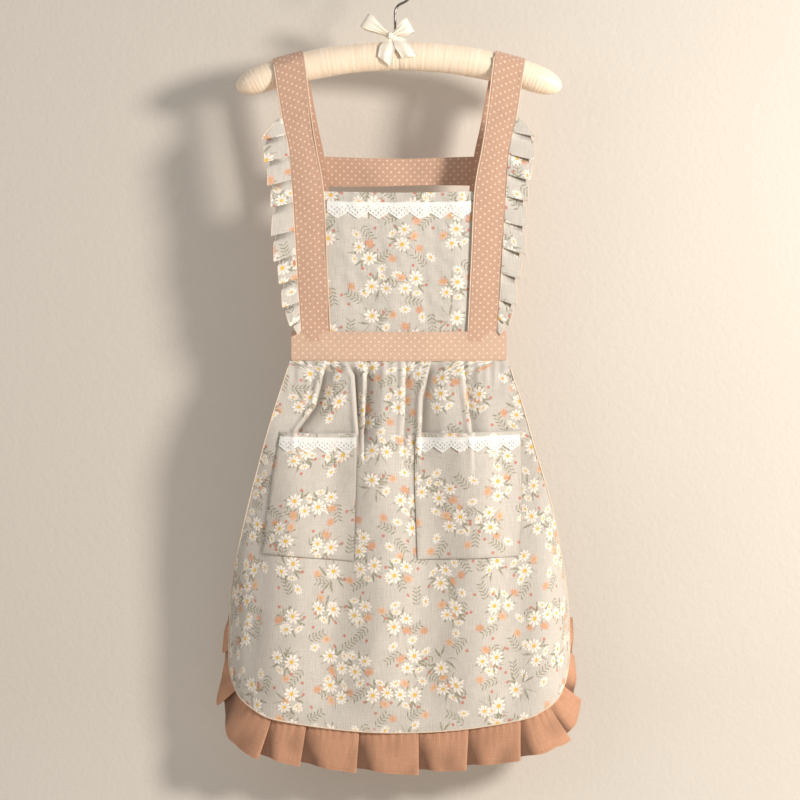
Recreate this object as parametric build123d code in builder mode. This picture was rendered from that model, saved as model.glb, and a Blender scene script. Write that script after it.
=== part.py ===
from build123d import *
import os
from math import asin, cos, degrees, radians, sin, sqrt

# A gathered pinafore apron on a padded coat hanger.
# Millimetres, +Z up, +X to the viewer's right, and the front of the apron faces -Y.
# The origin is the inside top of the hook, where it rests on a rail.

os.makedirs("parts", exist_ok=True)

# ---- driving dimensions: hanger ----
WIRE_R = 1.6
HOOK_R = 24.0  # centreline of the hook's bowl
NECK_R = 12.5  # bend between the stem and the bowl
NECK_TURN = 70.0
HOOK_TURN = 270.0
ARCH_R = 533.0  # centreline of the hanger's arms
ARCH_TOP = -111.0
ARM_REACH = 182.0  # where the centreline ends, on each side
CORE_R = 7.5
PAD_R = 17.7
COVER_R = 18.35
LAYER_GAP = 0.15
BUSH_R = 3.0
BUSH_CLEARANCE = 0.05
WASHER_R = 4.5
HEAD_R = 2.8

# ---- driving dimensions: apron ----
MIDDLE = 5.0  # the apron hangs a little right of the hanger's middle
GAP = 0.3  # between pieces that lie on each other
STRAP_T = 1.6
CLOTH_T = 1.2
LINEN_T = 0.8
STRAP_INNER_R = COVER_R + 0.4
STRAP_FRONT_Y = -(STRAP_INNER_R + STRAP_T)
STRAP_MID_Y = STRAP_INNER_R + STRAP_T / 2
BIB_TOP = -284.0
BIB_HALF = 94.5
WAIST_TOP = -458.0
WAIST_BOTTOM = -494.4
WAIST_HALF = 134.0
SEAM_DEPTH = 12.0  # how far panels run into the waistband
SKIRT_Y = -19.0
SKIRT_FLAT = 152.0  # half width of the flat front; the sides curl back from here
CURL_R = 68.0
CURL_ANGLE = 72.0
CURL_RUN = 42.0
HEM_MIDDLE = -957.6
HEM_SIDE = -941.5
RUFFLE_WAVE = 5.0
RUFFLE_PITCH = 44.0
POCKET_TOP = -584.0
POCKET_BOTTOM = -744.0
POCKET_DEPTH = 6.4  # room for a hand between pocket and skirt
POCKET_T = 1.0
LACE_T = 0.6
LACE_GROUND = 7.0
LACE_DROP = 21.0
TIE_T = 1.2
REACH = 200.0  # longer than the object is deep

arch_centre = ARCH_TOP - ARCH_R
arch_axis = Axis((0, 0, arch_centre), (0, 1, 0))
arm_angle = degrees(asin(ARM_REACH / ARCH_R))


def save(piece, label):
    piece.part.label = label
    export_step(piece.part, f"parts/{label}.step")


def arch_height(x):
    return arch_centre + sqrt(ARCH_R**2 - x**2)


def arch_plane(x):
    """The plane across the hanger's arm at x.

    Its x is the depth and its y points away from the arch's centre.
    """
    turn = asin(x / ARCH_R)
    along = (cos(turn), 0, -sin(turn))
    return Plane(origin=(x, 0, arch_height(x)), x_dir=(0, 1, 0), z_dir=along)


def mirrored(points, side):
    """Outline points given from the apron's middle, put on one side of it."""
    return [(MIDDLE + side * x, z) for x, z in points]


# ---- hook ----
stem_foot = ARCH_TOP - CORE_R - 2.9
stem_top = -(HOOK_R - WIRE_R) - sqrt((HOOK_R + NECK_R) ** 2 - NECK_R**2)

with BuildPart() as hook_wire:
    with BuildLine(Plane.XZ):
        stem = Line((0, stem_foot), (0, stem_top))
        neck = JernArc(stem @ 1, stem % 1, NECK_R, -NECK_TURN)
        bowl = JernArc(neck @ 1, neck % 1, HOOK_R, HOOK_TURN)
    with BuildSketch(Plane.XY.offset(stem_foot)):
        Circle(WIRE_R)
    sweep()
    with Locations(bowl @ 1):
        Sphere(WIRE_R)
    with BuildSketch(Plane.XY.offset(stem_foot)):
        Circle(HEAD_R)
    extrude(amount=1.4)
save(hook_wire, "hook_wire")

with BuildPart() as hook_washer:
    with BuildSketch(Plane.XY.offset(stem_foot + 1.5)):
        Circle(WASHER_R)
        Circle(WIRE_R + 0.15, mode=Mode.SUBTRACT)
    extrude(amount=1.0)
save(hook_washer, "hook_washer")

# ---- hanger ----
with BuildPart() as hook_bush:
    for radius, foot, length in ((BUSH_R, -CORE_R, 2 * CORE_R), (BUSH_R + 2, CORE_R, 1.0)):
        with BuildSketch(Plane.XY.offset(ARCH_TOP + foot)):
            Circle(radius)
            Circle(WIRE_R + BUSH_CLEARANCE, mode=Mode.SUBTRACT)
        extrude(amount=length)
save(hook_bush, "hook_bush")

with BuildPart() as hanger_core:
    with BuildSketch(arch_plane(-ARM_REACH)):
        Circle(CORE_R)
    revolve(axis=arch_axis, revolution_arc=2 * arm_angle)
    with Locations(*[(x, 0, arch_height(ARM_REACH)) for x in (-ARM_REACH, ARM_REACH)]):
        Sphere(CORE_R)
    with Locations((0, 0, ARCH_TOP)):
        Cylinder(BUSH_R + LAYER_GAP, 4 * CORE_R, mode=Mode.SUBTRACT)
    with BuildSketch(Plane.XY.offset(ARCH_TOP + CORE_R - 0.1)):
        Circle(BUSH_R + 3)
    extrude(amount=5, mode=Mode.SUBTRACT)
save(hanger_core, "hanger_core")


def sleeve(side, outer, inner, bore):
    """A layer of the pad on one arm, closed round the arm's end and bored for the hook."""
    with BuildPart() as layer:
        for radius, mode in ((outer, Mode.ADD), (inner, Mode.SUBTRACT)):
            with BuildSketch(Plane.YZ):
                with Locations((0, ARCH_TOP)):
                    Circle(radius)
            revolve(axis=arch_axis, revolution_arc=side * arm_angle, mode=mode)
            with Locations((side * ARM_REACH, 0, arch_height(ARM_REACH))):
                Sphere(radius, mode=mode)
        with Locations((0, 0, ARCH_TOP + CORE_R)):
            Cylinder(bore, 40, mode=Mode.SUBTRACT)
        with Locations((0, 0, ARCH_TOP - CORE_R - 2)):
            Cylinder(WASHER_R + 1, 12, mode=Mode.SUBTRACT)
        with Locations((0, 0, ARCH_TOP)):
            Box(2 * LAYER_GAP, 60, 60, mode=Mode.SUBTRACT)
    return layer


for side, name in ((-1, "left"), (1, "right")):
    padding = sleeve(side, PAD_R, CORE_R + LAYER_GAP, BUSH_R + 2.5)
    save(padding, f"padding_{name}")
    cover = sleeve(side, COVER_R, PAD_R + LAYER_GAP, WIRE_R + 0.9)
    save(cover, f"cover_{name}")

# ---- bow on the hanger: two loops and two tails under a knot, in front of the stem ----
bow_z = ARCH_TOP + COVER_R + 5
bow_back = -3.4
bow_loop_depth = 7.0
ribbon_t = 0.8
knot_x = -6.0


def petal(points):
    """The outline of a bow's loop, from its root round its tip and back."""
    Spline(*points)
    Line(points[-1], points[0])


with BuildPart() as bow_loops:
    loop_outlines = [
        [(-9, bow_z - 3), (-30, bow_z - 2), (-42, bow_z + 9), (-34, bow_z + 27), (-9, bow_z + 4)],
        [(-3, bow_z + 4), (7, bow_z + 20), (19, bow_z + 12), (15, bow_z + 1), (-3, bow_z - 3)],
    ]
    for outline in loop_outlines:
        with BuildSketch(Plane.XZ.offset(-bow_back)):
            with BuildLine():
                petal(outline)
            make_face()
        extrude(amount=bow_loop_depth)
    with BuildSketch(Plane.XZ.offset(-bow_back + ribbon_t)):
        for left, right in ((-37, -12), (0, 14)):
            with Locations(((left + right) / 2, bow_z + 6)):
                Rectangle(right - left, 60)
    extrude(amount=bow_loop_depth - 2 * ribbon_t, mode=Mode.SUBTRACT)
    with BuildSketch(Plane.XZ.offset(-bow_back)):
        with Locations((knot_x, bow_z + 0.5)):
            Rectangle(8, 7)
    extrude(amount=bow_loop_depth)
save(bow_loops, "bow_loops")

with BuildPart() as bow_tails:
    with BuildSketch(Plane.XZ.offset(COVER_R + 0.4)):
        Polygon((-9, bow_z - 12), (-3, bow_z - 12), (-5, bow_z - 35), (-22, bow_z - 31), align=None)
        Polygon((-9, bow_z - 12), (-3, bow_z - 12), (27, bow_z - 19), (19, bow_z - 37), align=None)
    extrude(amount=ribbon_t)
    with BuildSketch(Plane.YZ.offset(knot_x - 3)):
        with BuildLine():
            face_y = -COVER_R - 0.4
            front_y = face_y - ribbon_t
            root = [(-11, -8), (-14.2, -8), (front_y, -12), (front_y, -15), (face_y, -15)]
            Polyline(*[(y, bow_z + z) for y, z in root], close=True)
        make_face()
    extrude(amount=6)
save(bow_tails, "bow_tails")

with BuildPart() as bow_knot:
    with BuildSketch(Plane.XZ.offset(-bow_back + bow_loop_depth + GAP)):
        with Locations((knot_x, bow_z)):
            Ellipse(7, 7.5)
    extrude(amount=3)
    fillet(bow_knot.faces().sort_by(Axis.Y)[0].edges(), 1.2)
save(bow_knot, "bow_knot")

# ---- shoulder straps ----
# Edges of the front and rear leg, as (distance from the apron's middle, height).
FRONT_OUTER = [(146, -189), (137, -233), (133, -283), (121.5, WAIST_TOP - SEAM_DEPTH)]
FRONT_INNER = [(108.5, -199), (103, -233), (94.5, -283), (85.5, WAIST_TOP - SEAM_DEPTH)]
REAR_OUTER = [(141, -189), (132, -233), (125, -283), (114, WAIST_TOP - SEAM_DEPTH)]
REAR_INNER = [(103.5, -193), (95, -233), (88.5, -283), (78, WAIST_TOP - SEAM_DEPTH)]
STRAP_TOP_OUTER = 158.0
STRAP_TOP_INNER = 121.0
REAR_BEND_Z = -275.0  # the rear leg hangs straight to here, then runs in to the waistband
REAR_END_Y = -14.1


def leg_outline(outer, inner, side):
    """The strap's outline from the ridge of the pad down to the waistband."""
    top_outer = (STRAP_TOP_OUTER, arch_height(MIDDLE + side * STRAP_TOP_OUTER) + 1)
    top_inner = (STRAP_TOP_INNER, arch_height(MIDDLE + side * STRAP_TOP_INNER) + 1)
    down = mirrored([top_outer, *outer], side)
    up = mirrored([*reversed(inner), top_inner], side)
    Spline(*down)
    Line(down[-1], up[0])
    Spline(*up)
    Line(up[-1], down[0])


def strap(side):
    low, high = sorted((MIDDLE + side * STRAP_TOP_INNER, MIDDLE + side * STRAP_TOP_OUTER))
    with BuildPart() as rear_leg:
        with BuildSketch(Plane.YZ.offset(MIDDLE - REACH)):
            with BuildLine():
                Polyline(
                    (STRAP_MID_Y, ARCH_TOP),
                    (STRAP_MID_Y, REAR_BEND_Z),
                    (REAR_END_Y, WAIST_TOP - SEAM_DEPTH - 1),
                )
            trace(line_width=STRAP_T)
        extrude(amount=2 * REACH)
        with BuildSketch(Plane.XZ):
            with BuildLine():
                leg_outline(REAR_OUTER, REAR_INNER, side)
            make_face()
        extrude(amount=REACH, both=True, mode=Mode.INTERSECT)
    with BuildPart() as band:
        with BuildSketch(Plane.XZ.offset(STRAP_INNER_R)):
            with BuildLine():
                leg_outline(FRONT_OUTER, FRONT_INNER, side)
            make_face()
        extrude(amount=STRAP_T)
        with BuildSketch(arch_plane(low)):
            Circle(STRAP_INNER_R + STRAP_T)
            Circle(STRAP_INNER_R, mode=Mode.SUBTRACT)
            with Locations((0, -REACH / 2)):
                Rectangle(REACH, REACH, mode=Mode.SUBTRACT)
        revolve(axis=arch_axis, revolution_arc=degrees(asin(high / ARCH_R) - asin(low / ARCH_R)))
        add(rear_leg.part)
    return band


PIPING_W = 1.4


def piping(side):
    """The cord in the two long seams of a front strap, on its face."""
    with BuildPart() as cords:
        for edge, inward in ((FRONT_OUTER, -1), (FRONT_INNER, 1)):
            middle = [(x + inward * PIPING_W, z) for x, z in edge[:-1]]
            middle.append((edge[-1][0] + inward * PIPING_W, WAIST_TOP + 1))
            with BuildSketch(Plane.XZ.offset(-STRAP_FRONT_Y + 0.1)):
                with BuildLine():
                    Spline(*mirrored(middle, side))
                trace(line_width=PIPING_W)
            extrude(amount=0.9)
    return cords


for side, name in ((-1, "left"), (1, "right")):
    save(strap(side), f"strap_{name}")
    save(piping(side), f"strap_piping_{name}")

BACK_BAND_TOP = [(-99, -238), (-40, -236), (30, -239), (101, -236)]
BACK_BAND_BOTTOM = [(104, -270), (30, -273), (-40, -270), (-96, -272)]

with BuildPart() as back_band:
    with BuildSketch(Plane.XZ.offset(-STRAP_MID_Y - STRAP_T / 2 - GAP)):
        with BuildLine():
            top = Spline(*mirrored(BACK_BAND_TOP, 1))
            bottom = Spline(*mirrored(BACK_BAND_BOTTOM, 1))
            Line(top @ 1, bottom @ 0)
            Line(bottom @ 1, top @ 0)
        make_face()
    extrude(amount=-CLOTH_T)
save(back_band, "back_band")

# ---- bib ----
BIB_FRONT_Y = -(STRAP_INNER_R - GAP)
with BuildPart() as bib_panel:
    with BuildSketch(Plane.XZ.offset(-BIB_FRONT_Y - LINEN_T)):
        with BuildLine():
            rim = ThreePointArc(
                (MIDDLE - 118, BIB_TOP), (MIDDLE, BIB_TOP - 2), (MIDDLE + 118, BIB_TOP + 1)
            )
            Polyline(
                rim @ 1,
                (MIDDLE + 108, WAIST_TOP - SEAM_DEPTH),
                (MIDDLE - 108, WAIST_TOP - SEAM_DEPTH),
                rim @ 0,
            )
        make_face()
    extrude(amount=LINEN_T)
save(bib_panel, "bib_panel")

with BuildPart() as bib_facing:
    with BuildSketch(Plane.XZ.offset(-BIB_FRONT_Y - 2 * LINEN_T - GAP)):
        with Locations((MIDDLE, BIB_TOP - 8)):
            Rectangle(2 * BIB_HALF + 30, 11)
    extrude(amount=LINEN_T)
save(bib_facing, "bib_facing")


def lace(left, right, height, points, front):
    """A strip of lace: a straight ground with a row of eyelets, and a pointed lower edge."""
    step = (right - left) / points
    with BuildPart() as strip:
        with BuildSketch(Plane.XZ.offset(-front - LACE_T)):
            edge = [(left, height), (left, height - LACE_GROUND - 3)]
            for i in range(points):
                edge.append((left + (i + 0.5) * step, height - LACE_DROP))
                if i < points - 1:
                    edge.append((left + (i + 1) * step, height - LACE_GROUND - 3))
            edge += [(right, height - LACE_GROUND - 3), (right, height)]
            with BuildLine():
                Polyline(*edge, close=True)
            make_face()
            eyelets = [(left + (i + 0.5) * step, height - LACE_GROUND - 1) for i in range(points)]
            with Locations(*eyelets):
                Circle(2.2, mode=Mode.SUBTRACT)
        extrude(amount=LACE_T)
    return strip


BIB_LACE_HALF = 90.0
bib_lace = lace(
    MIDDLE - BIB_LACE_HALF, MIDDLE + BIB_LACE_HALF, BIB_TOP - 12, 7, BIB_FRONT_Y - 0.1 - LACE_T
)
save(bib_lace, "bib_lace")

# ---- shoulder ruffles: pleated bands sewn along the straps' outer edges ----
RUFFLE_Y = STRAP_FRONT_Y - 3.0  # in front of the pad, so that it passes it when the apron is lifted
PLEAT_DEPTH = 3.5
PLEAT_PITCH = 13.5
PLEAT_TOP = -185
PLEAT_COUNT = 22
RUFFLE_EDGE = [
    (146.5, -190),
    (166, -214),
    (164, -238),
    (160, -283),
    (155, -350),
    (146, -415),
    (128, WAIST_TOP + 3),
]


def ruffle_pleats():
    """Points of the pleats' zigzag, down the ruffle, as (depth, height)."""
    return [(RUFFLE_Y + PLEAT_DEPTH * (-1) ** i, PLEAT_TOP - PLEAT_PITCH * i) for i in range(PLEAT_COUNT)]


def shoulder_ruffle(side):
    clear_of_strap = [(x + 2 * GAP, z) for x, z in FRONT_OUTER]
    with BuildPart() as ruffle:
        with BuildSketch(Plane.YZ.offset(MIDDLE - REACH)):
            with BuildLine():
                Polyline(*ruffle_pleats())
            trace(line_width=LINEN_T)
        extrude(amount=2 * REACH)
        with BuildSketch(Plane.XZ):
            outside = mirrored(RUFFLE_EDGE, side)
            inside = mirrored([(100, WAIST_TOP + 3), (120, -190)], side)
            with BuildLine():
                Spline(*outside)
                Polyline(outside[-1], *inside, outside[0])
            make_face()
            with BuildLine():
                leg_outline(clear_of_strap, FRONT_INNER, side)
            make_face(mode=Mode.SUBTRACT)
            with Locations((MIDDLE + side * 60, -320)):
                Rectangle(100, 400, mode=Mode.SUBTRACT)
        extrude(amount=REACH, both=True, mode=Mode.INTERSECT)
    return ruffle


for side, name in ((-1, "left"), (1, "right")):
    save(shoulder_ruffle(side), f"shoulder_ruffle_{name}")

# ---- waistband ----
with BuildPart() as waistband_front:
    with BuildSketch(Plane.XZ.offset(-STRAP_FRONT_Y + GAP)):
        with Locations((MIDDLE, (WAIST_TOP + WAIST_BOTTOM) / 2)):
            RectangleRounded(2 * WAIST_HALF, WAIST_TOP - WAIST_BOTTOM, 1.5)
    extrude(amount=1.0)
save(waistband_front, "waistband_front")

FACING_Y = BIB_FRONT_Y + LINEN_T + GAP
with BuildPart() as waistband_facing:
    with BuildSketch(Plane.XZ.offset(-FACING_Y - LINEN_T)):
        with Locations((MIDDLE, (WAIST_TOP + WAIST_BOTTOM) / 2)):
            RectangleRounded(2 * WAIST_HALF, WAIST_TOP - WAIST_BOTTOM, 1.5)
    extrude(amount=LINEN_T)
save(waistband_facing, "waistband_facing")


# ---- skirt ----
def plan_line(run):
    """The skirt seen from above: flat in front, curled back at both sides, then straight for a run."""
    front = Line((MIDDLE - SKIRT_FLAT, SKIRT_Y), (MIDDLE + SKIRT_FLAT, SKIRT_Y))
    right = JernArc(front @ 1, (1, 0), CURL_R, CURL_ANGLE)
    Line(right @ 1, (right @ 1) + (right % 1) * run)
    left = JernArc(front @ 0, (-1, 0), CURL_R, -CURL_ANGLE)
    Line(left @ 1, (left @ 1) + (left % 1) * run)


SIDE_EDGE = [
    (214.5, -858),
    (212, -800),
    (200, -729),
    (187, -671),
    (169, -608),
    (152, -545),
    (135, WAIST_BOTTOM + 4),
]


def skirt_edge(spread):
    """The skirt's outline below the waistband, moved outwards by spread."""
    right = [(MIDDLE + x + spread, z) for x, z in reversed(SIDE_EDGE)]
    left = [(MIDDLE - x - spread, z) for x, z in SIDE_EDGE]
    corner = (200 + 0.7 * spread, -914 - 0.7 * spread)
    foot = (152, HEM_SIDE - spread)
    right_foot, left_foot = [(MIDDLE + side * foot[0], foot[1]) for side in (1, -1)]
    Spline(*right)
    ThreePointArc(right[-1], (MIDDLE + corner[0], corner[1]), right_foot)
    ThreePointArc(right_foot, (MIDDLE, HEM_MIDDLE - spread), left_foot)
    ThreePointArc(left_foot, (MIDDLE - corner[0], corner[1]), left[0])
    Spline(*left)
    Line(left[-1], right[0])


with BuildPart() as skirt_panel:
    with BuildSketch(Plane.XY.offset(HEM_MIDDLE - 5)):
        with BuildLine():
            plan_line(CURL_RUN)
        trace(line_width=CLOTH_T)
    extrude(amount=REACH * 3)
    with BuildSketch(Plane.XZ):
        with BuildLine():
            skirt_edge(0)
        make_face()
    extrude(amount=REACH, both=True, mode=Mode.INTERSECT)
save(skirt_panel, "skirt_panel")

PIPING_BAND = 2.0
with BuildPart() as skirt_piping:
    with BuildSketch(Plane.XY.offset(HEM_MIDDLE - 10)):
        with BuildLine():
            plan_line(CURL_RUN)
        trace(line_width=CLOTH_T + 0.8)
    extrude(amount=REACH * 3)
    with BuildSketch(Plane.XZ):
        with BuildLine():
            skirt_edge(GAP + PIPING_BAND)
        make_face()
        with BuildLine():
            skirt_edge(GAP)
        make_face(mode=Mode.SUBTRACT)
        with Locations((MIDDLE, -300)):
            Rectangle(700, 510, mode=Mode.SUBTRACT)
    extrude(amount=REACH, both=True, mode=Mode.INTERSECT)
save(skirt_piping, "skirt_piping")

# ---- hem ruffle ----
RUFFLE_START = -812.0
HEM_OUTER = [
    (211, RUFFLE_START),
    (232, -850),
    (240, -900),
    (234, -938),
    (216, -956),
    (190, -970),
    (132, -990),
    (70, -1003),
    (0, -1008),
]


def curl_point(run):
    """The place and the outward direction at a distance along the plan line."""
    if run <= SKIRT_FLAT:
        return run, SKIRT_Y, (0, 1)
    turn = min((run - SKIRT_FLAT) / CURL_R, radians(CURL_ANGLE))
    x = SKIRT_FLAT + CURL_R * sin(turn)
    y = SKIRT_Y + CURL_R * (1 - cos(turn))
    rest = max(run - SKIRT_FLAT - CURL_R * radians(CURL_ANGLE), 0)
    return x + rest * cos(turn), y + rest * sin(turn), (-sin(turn), cos(turn))


def pleat_points():
    """The ruffle's wave seen from above, as points each side of the plan line."""
    half = SKIRT_FLAT + CURL_R * radians(CURL_ANGLE) + CURL_RUN
    count = round(4 * half / RUFFLE_PITCH)
    points = []
    for i in range(-count // 2, count // 2 + 1):
        run = i * 2 * half / count
        x, y, away = curl_point(abs(run))
        wave = RUFFLE_WAVE * (-1) ** i
        side = 1 if run >= 0 else -1
        points.append((MIDDLE + side * (x + wave * away[0]), y + wave * away[1]))
    return points


with BuildPart() as hem_ruffle:
    with BuildSketch(Plane.XY.offset(-1015)):
        with BuildLine():
            Spline(*pleat_points())
        trace(line_width=LINEN_T)
    extrude(amount=REACH * 2)
    with BuildSketch(Plane.XZ):
        right = [(MIDDLE + x, z) for x, z in HEM_OUTER]
        left = [(MIDDLE - x, z) for x, z in reversed(HEM_OUTER[:-1])]
        with BuildLine():
            Spline(*right, *left)
            Line(left[-1], right[0])
        make_face()
        with BuildLine():
            skirt_edge(2 * GAP + PIPING_BAND)
        make_face(mode=Mode.SUBTRACT)
    extrude(amount=REACH, both=True, mode=Mode.INTERSECT)
save(hem_ruffle, "hem_ruffle")

# ---- pockets ----
# Outlines from the top inner corner round, as (x from the apron's middle, height).
POCKETS = {
    "left": [
        (-52, POCKET_TOP),
        (-56, POCKET_BOTTOM),
        (-157, POCKET_BOTTOM + 2),
        (-172, -731),
        (-163, -690),
        (-148, POCKET_TOP + 1),
    ],
    "right": [
        (20.5, POCKET_TOP),
        (23, POCKET_BOTTOM + 2),
        (90, POCKET_BOTTOM),
        (150, -738),
        (153, -690),
        (151.5, POCKET_TOP + 3),
    ],
}
POCKET_LACE = {"left": (-146, -53, 4), "right": (22, 150, 6)}
POCKET_BACK_Y = SKIRT_Y - CLOTH_T / 2 - GAP
POCKET_FRONT_Y = POCKET_BACK_Y - POCKET_DEPTH

for name, corners in POCKETS.items():
    with BuildPart() as pocket:
        with BuildSketch(Plane.XZ.offset(-POCKET_BACK_Y)):
            with BuildLine():
                Polyline(*[(MIDDLE + x, z) for x, z in corners], close=True)
            make_face()
        extrude(amount=POCKET_DEPTH + POCKET_T)
        with BuildSketch(Plane.XZ.offset(-POCKET_BACK_Y)):
            with BuildLine():
                Polyline(*[(MIDDLE + x, z) for x, z in corners], close=True)
            make_face()
            offset(amount=-POCKET_T, mode=Mode.REPLACE)
            with Locations((MIDDLE + (corners[0][0] + corners[-1][0]) / 2, POCKET_TOP)):
                Rectangle(abs(corners[0][0] - corners[-1][0]) - 2 * POCKET_T, 12)
        extrude(amount=POCKET_DEPTH, mode=Mode.SUBTRACT)
    save(pocket, f"pocket_{name}")

    first, last, scallops = POCKET_LACE[name]
    with BuildPart() as facing:
        with BuildSketch(Plane.XZ.offset(-POCKET_FRONT_Y - 0.6)):
            with Locations((MIDDLE + (first + last) / 2, POCKET_TOP - 6)):
                Rectangle(last - first - 3, 9)
        extrude(amount=0.5)
    save(facing, f"pocket_facing_{name}")
    edging = lace(
        MIDDLE + first, MIDDLE + last, POCKET_TOP - 8, scallops, POCKET_FRONT_Y - POCKET_T - 0.1 - LACE_T
    )
    save(edging, f"pocket_lace_{name}")

# ---- waist ties, tied in a bow behind the skirt ----
KNOT_Z = -520.0
KNOT_Y = 9.0
LOOP_DEPTH = 10.0
LOOP_OUTLINE = [
    (13, KNOT_Z + 10),
    (50, KNOT_Z + 26),
    (98, KNOT_Z - 12),
    (60, KNOT_Z - 52),
    (13, KNOT_Z - 10),
]
TAIL_OUTLINE = [
    (12, KNOT_Z + 4),
    (17, KNOT_Z - 60),
    (32, -790),
    (58, -776),
    (43, KNOT_Z - 60),
    (20, KNOT_Z + 4),
]


def tie(side):
    """One tie: its run from the waistband, one loop and one tail of the bow."""
    with BuildPart() as run:
        with BuildSketch(Plane.XY.offset(WAIST_BOTTOM - 100)):
            with BuildLine():
                Spline(*mirrored([(132, -14.0), (118, -11.0), (60, 0), (12, KNOT_Y)], side))
            trace(line_width=TIE_T)
        extrude(amount=REACH)
        with BuildSketch(Plane.XZ):
            band = [(131, -463), (131, -489), (11.5, KNOT_Z - 13), (11.5, KNOT_Z + 13)]
            Polygon(*mirrored(band, side), align=None)
        extrude(amount=REACH, both=True, mode=Mode.INTERSECT)
    with BuildPart() as ribbon:
        add(run.part)
        with BuildSketch(Plane.XZ.offset(-KNOT_Y + 1)):
            with BuildLine():
                petal(mirrored(LOOP_OUTLINE, side))
            make_face()
        extrude(amount=-LOOP_DEPTH)
        with BuildSketch(Plane.XZ.offset(-KNOT_Y + 1 - TIE_T)):
            with Locations((MIDDLE + side * 52, KNOT_Z - 10)):
                Rectangle(68, 120)
        extrude(amount=-LOOP_DEPTH + 2 * TIE_T, mode=Mode.SUBTRACT)
        with BuildSketch(Plane.XZ.offset(-KNOT_Y - 8)):
            Polygon(*mirrored(TAIL_OUTLINE, side), align=None)
        extrude(amount=-TIE_T)
        with BuildSketch(Plane.XZ.offset(-KNOT_Y + 3)):
            with Locations((MIDDLE + side * 15.5, KNOT_Z)):
                Rectangle(8, 20)
        extrude(amount=-13)
        if side < 0:
            with BuildSketch(Plane.XZ.offset(-KNOT_Y + 4)):
                with Locations((MIDDLE - 1, KNOT_Z)):
                    RectangleRounded(23, 26, 6)
            extrude(amount=-15)
    return ribbon


for side, name in ((-1, "left"), (1, "right")):
    save(tie(side), f"waist_tie_{name}")
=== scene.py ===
"""A gathered pinafore apron with ruffles, lace and patch pockets on a padded satin coat hanger."""

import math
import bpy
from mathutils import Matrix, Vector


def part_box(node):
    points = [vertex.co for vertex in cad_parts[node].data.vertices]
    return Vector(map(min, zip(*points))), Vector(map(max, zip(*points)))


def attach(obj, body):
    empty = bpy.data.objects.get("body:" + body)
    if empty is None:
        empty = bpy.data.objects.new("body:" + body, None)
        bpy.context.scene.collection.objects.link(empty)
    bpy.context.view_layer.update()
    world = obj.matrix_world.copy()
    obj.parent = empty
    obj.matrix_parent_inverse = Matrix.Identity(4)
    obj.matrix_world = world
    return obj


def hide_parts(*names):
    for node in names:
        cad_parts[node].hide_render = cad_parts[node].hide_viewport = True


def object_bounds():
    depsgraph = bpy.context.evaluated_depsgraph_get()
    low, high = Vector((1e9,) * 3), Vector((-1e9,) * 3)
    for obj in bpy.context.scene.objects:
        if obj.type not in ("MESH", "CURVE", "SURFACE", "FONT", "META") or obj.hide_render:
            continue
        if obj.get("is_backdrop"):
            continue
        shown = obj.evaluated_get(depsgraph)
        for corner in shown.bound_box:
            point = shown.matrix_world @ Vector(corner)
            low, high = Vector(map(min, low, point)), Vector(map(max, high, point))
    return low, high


bl_info = {
    "name": "Pinafore apron on a padded hanger",
    "version": (1, 0, 0),
    "blender": (4, 5, 0),
    "location": "3D View > Sidebar > Apron",
    "description": "Makes a printed pinafore apron with ruffles and lace on a satin hanger",
    "category": "Add Mesh",
}

import bmesh
import bpy
import numpy as np
from bpy.props import FloatProperty, FloatVectorProperty, IntProperty, PointerProperty
from mathutils import Vector
from mathutils.geometry import delaunay_2d_cdt

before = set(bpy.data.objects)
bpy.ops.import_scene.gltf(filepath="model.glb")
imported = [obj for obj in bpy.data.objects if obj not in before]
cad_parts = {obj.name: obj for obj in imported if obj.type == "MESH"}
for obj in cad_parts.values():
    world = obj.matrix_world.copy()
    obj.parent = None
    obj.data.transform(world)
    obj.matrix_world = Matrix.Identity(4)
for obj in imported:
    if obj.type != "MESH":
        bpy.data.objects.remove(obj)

MM = 0.001
SIDES = {"left": -1, "right": 1}
LINEN_SIDES = ["Printed linen", "Linen wrong side"]


# ---------------------------------------------------------------- measures


def corners(node):
    """The lowest and highest corner of a CAD node, in millimetres."""
    low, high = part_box(node)
    return np.array(low) / MM, np.array(high) / MM


def between(node, axis):
    """The middle of a CAD node along one axis, in millimetres."""
    low, high = corners(node)
    return float(low[axis] + high[axis]) / 2


MIDDLE = between("waistband_front", 0)
SKIRT_FRONT = corners("skirt_panel")[0][1] + 0.6
BAND_LOW, BAND_HIGH = corners("waistband_front")
BIB_LOW, BIB_HIGH = corners("bib_panel")
PAD_RADIUS = (corners("cover_left")[1][1] - corners("cover_left")[0][1]) / 2
ARCH_TOP = corners("cover_left")[1][2] - PAD_RADIUS
ARCH_RADIUS = 533.0
ARM_END = MIDDLE - corners("cover_left")[0][0]
STRAP_FRONT = between("strap_piping_left", 1)

# The skirt's front is flat and its sides curl back round a bend.
FLAT_HALF = 152.0
CURL_RADIUS = 68.0
CURL_ANGLE = math.radians(72)


def srgb(red, green, blue):
    """A screen colour from 0 to 255 as the linear colour that a shader takes."""
    parts = [value / 255 for value in (red, green, blue)]
    return tuple(p / 12.92 if p <= 0.04045 else ((p + 0.055) / 1.055) ** 2.4 for p in parts)


# ---------------------------------------------------------------- settings


def colour_choice(name, description, value):
    return FloatVectorProperty(
        name=name, description=description, subtype="COLOR", size=3, min=0, max=1, default=value
    )


def length_choice(name, description, millimetres):
    return FloatProperty(
        name=name, description=description, subtype="DISTANCE", unit="LENGTH", default=millimetres * MM
    )


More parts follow.
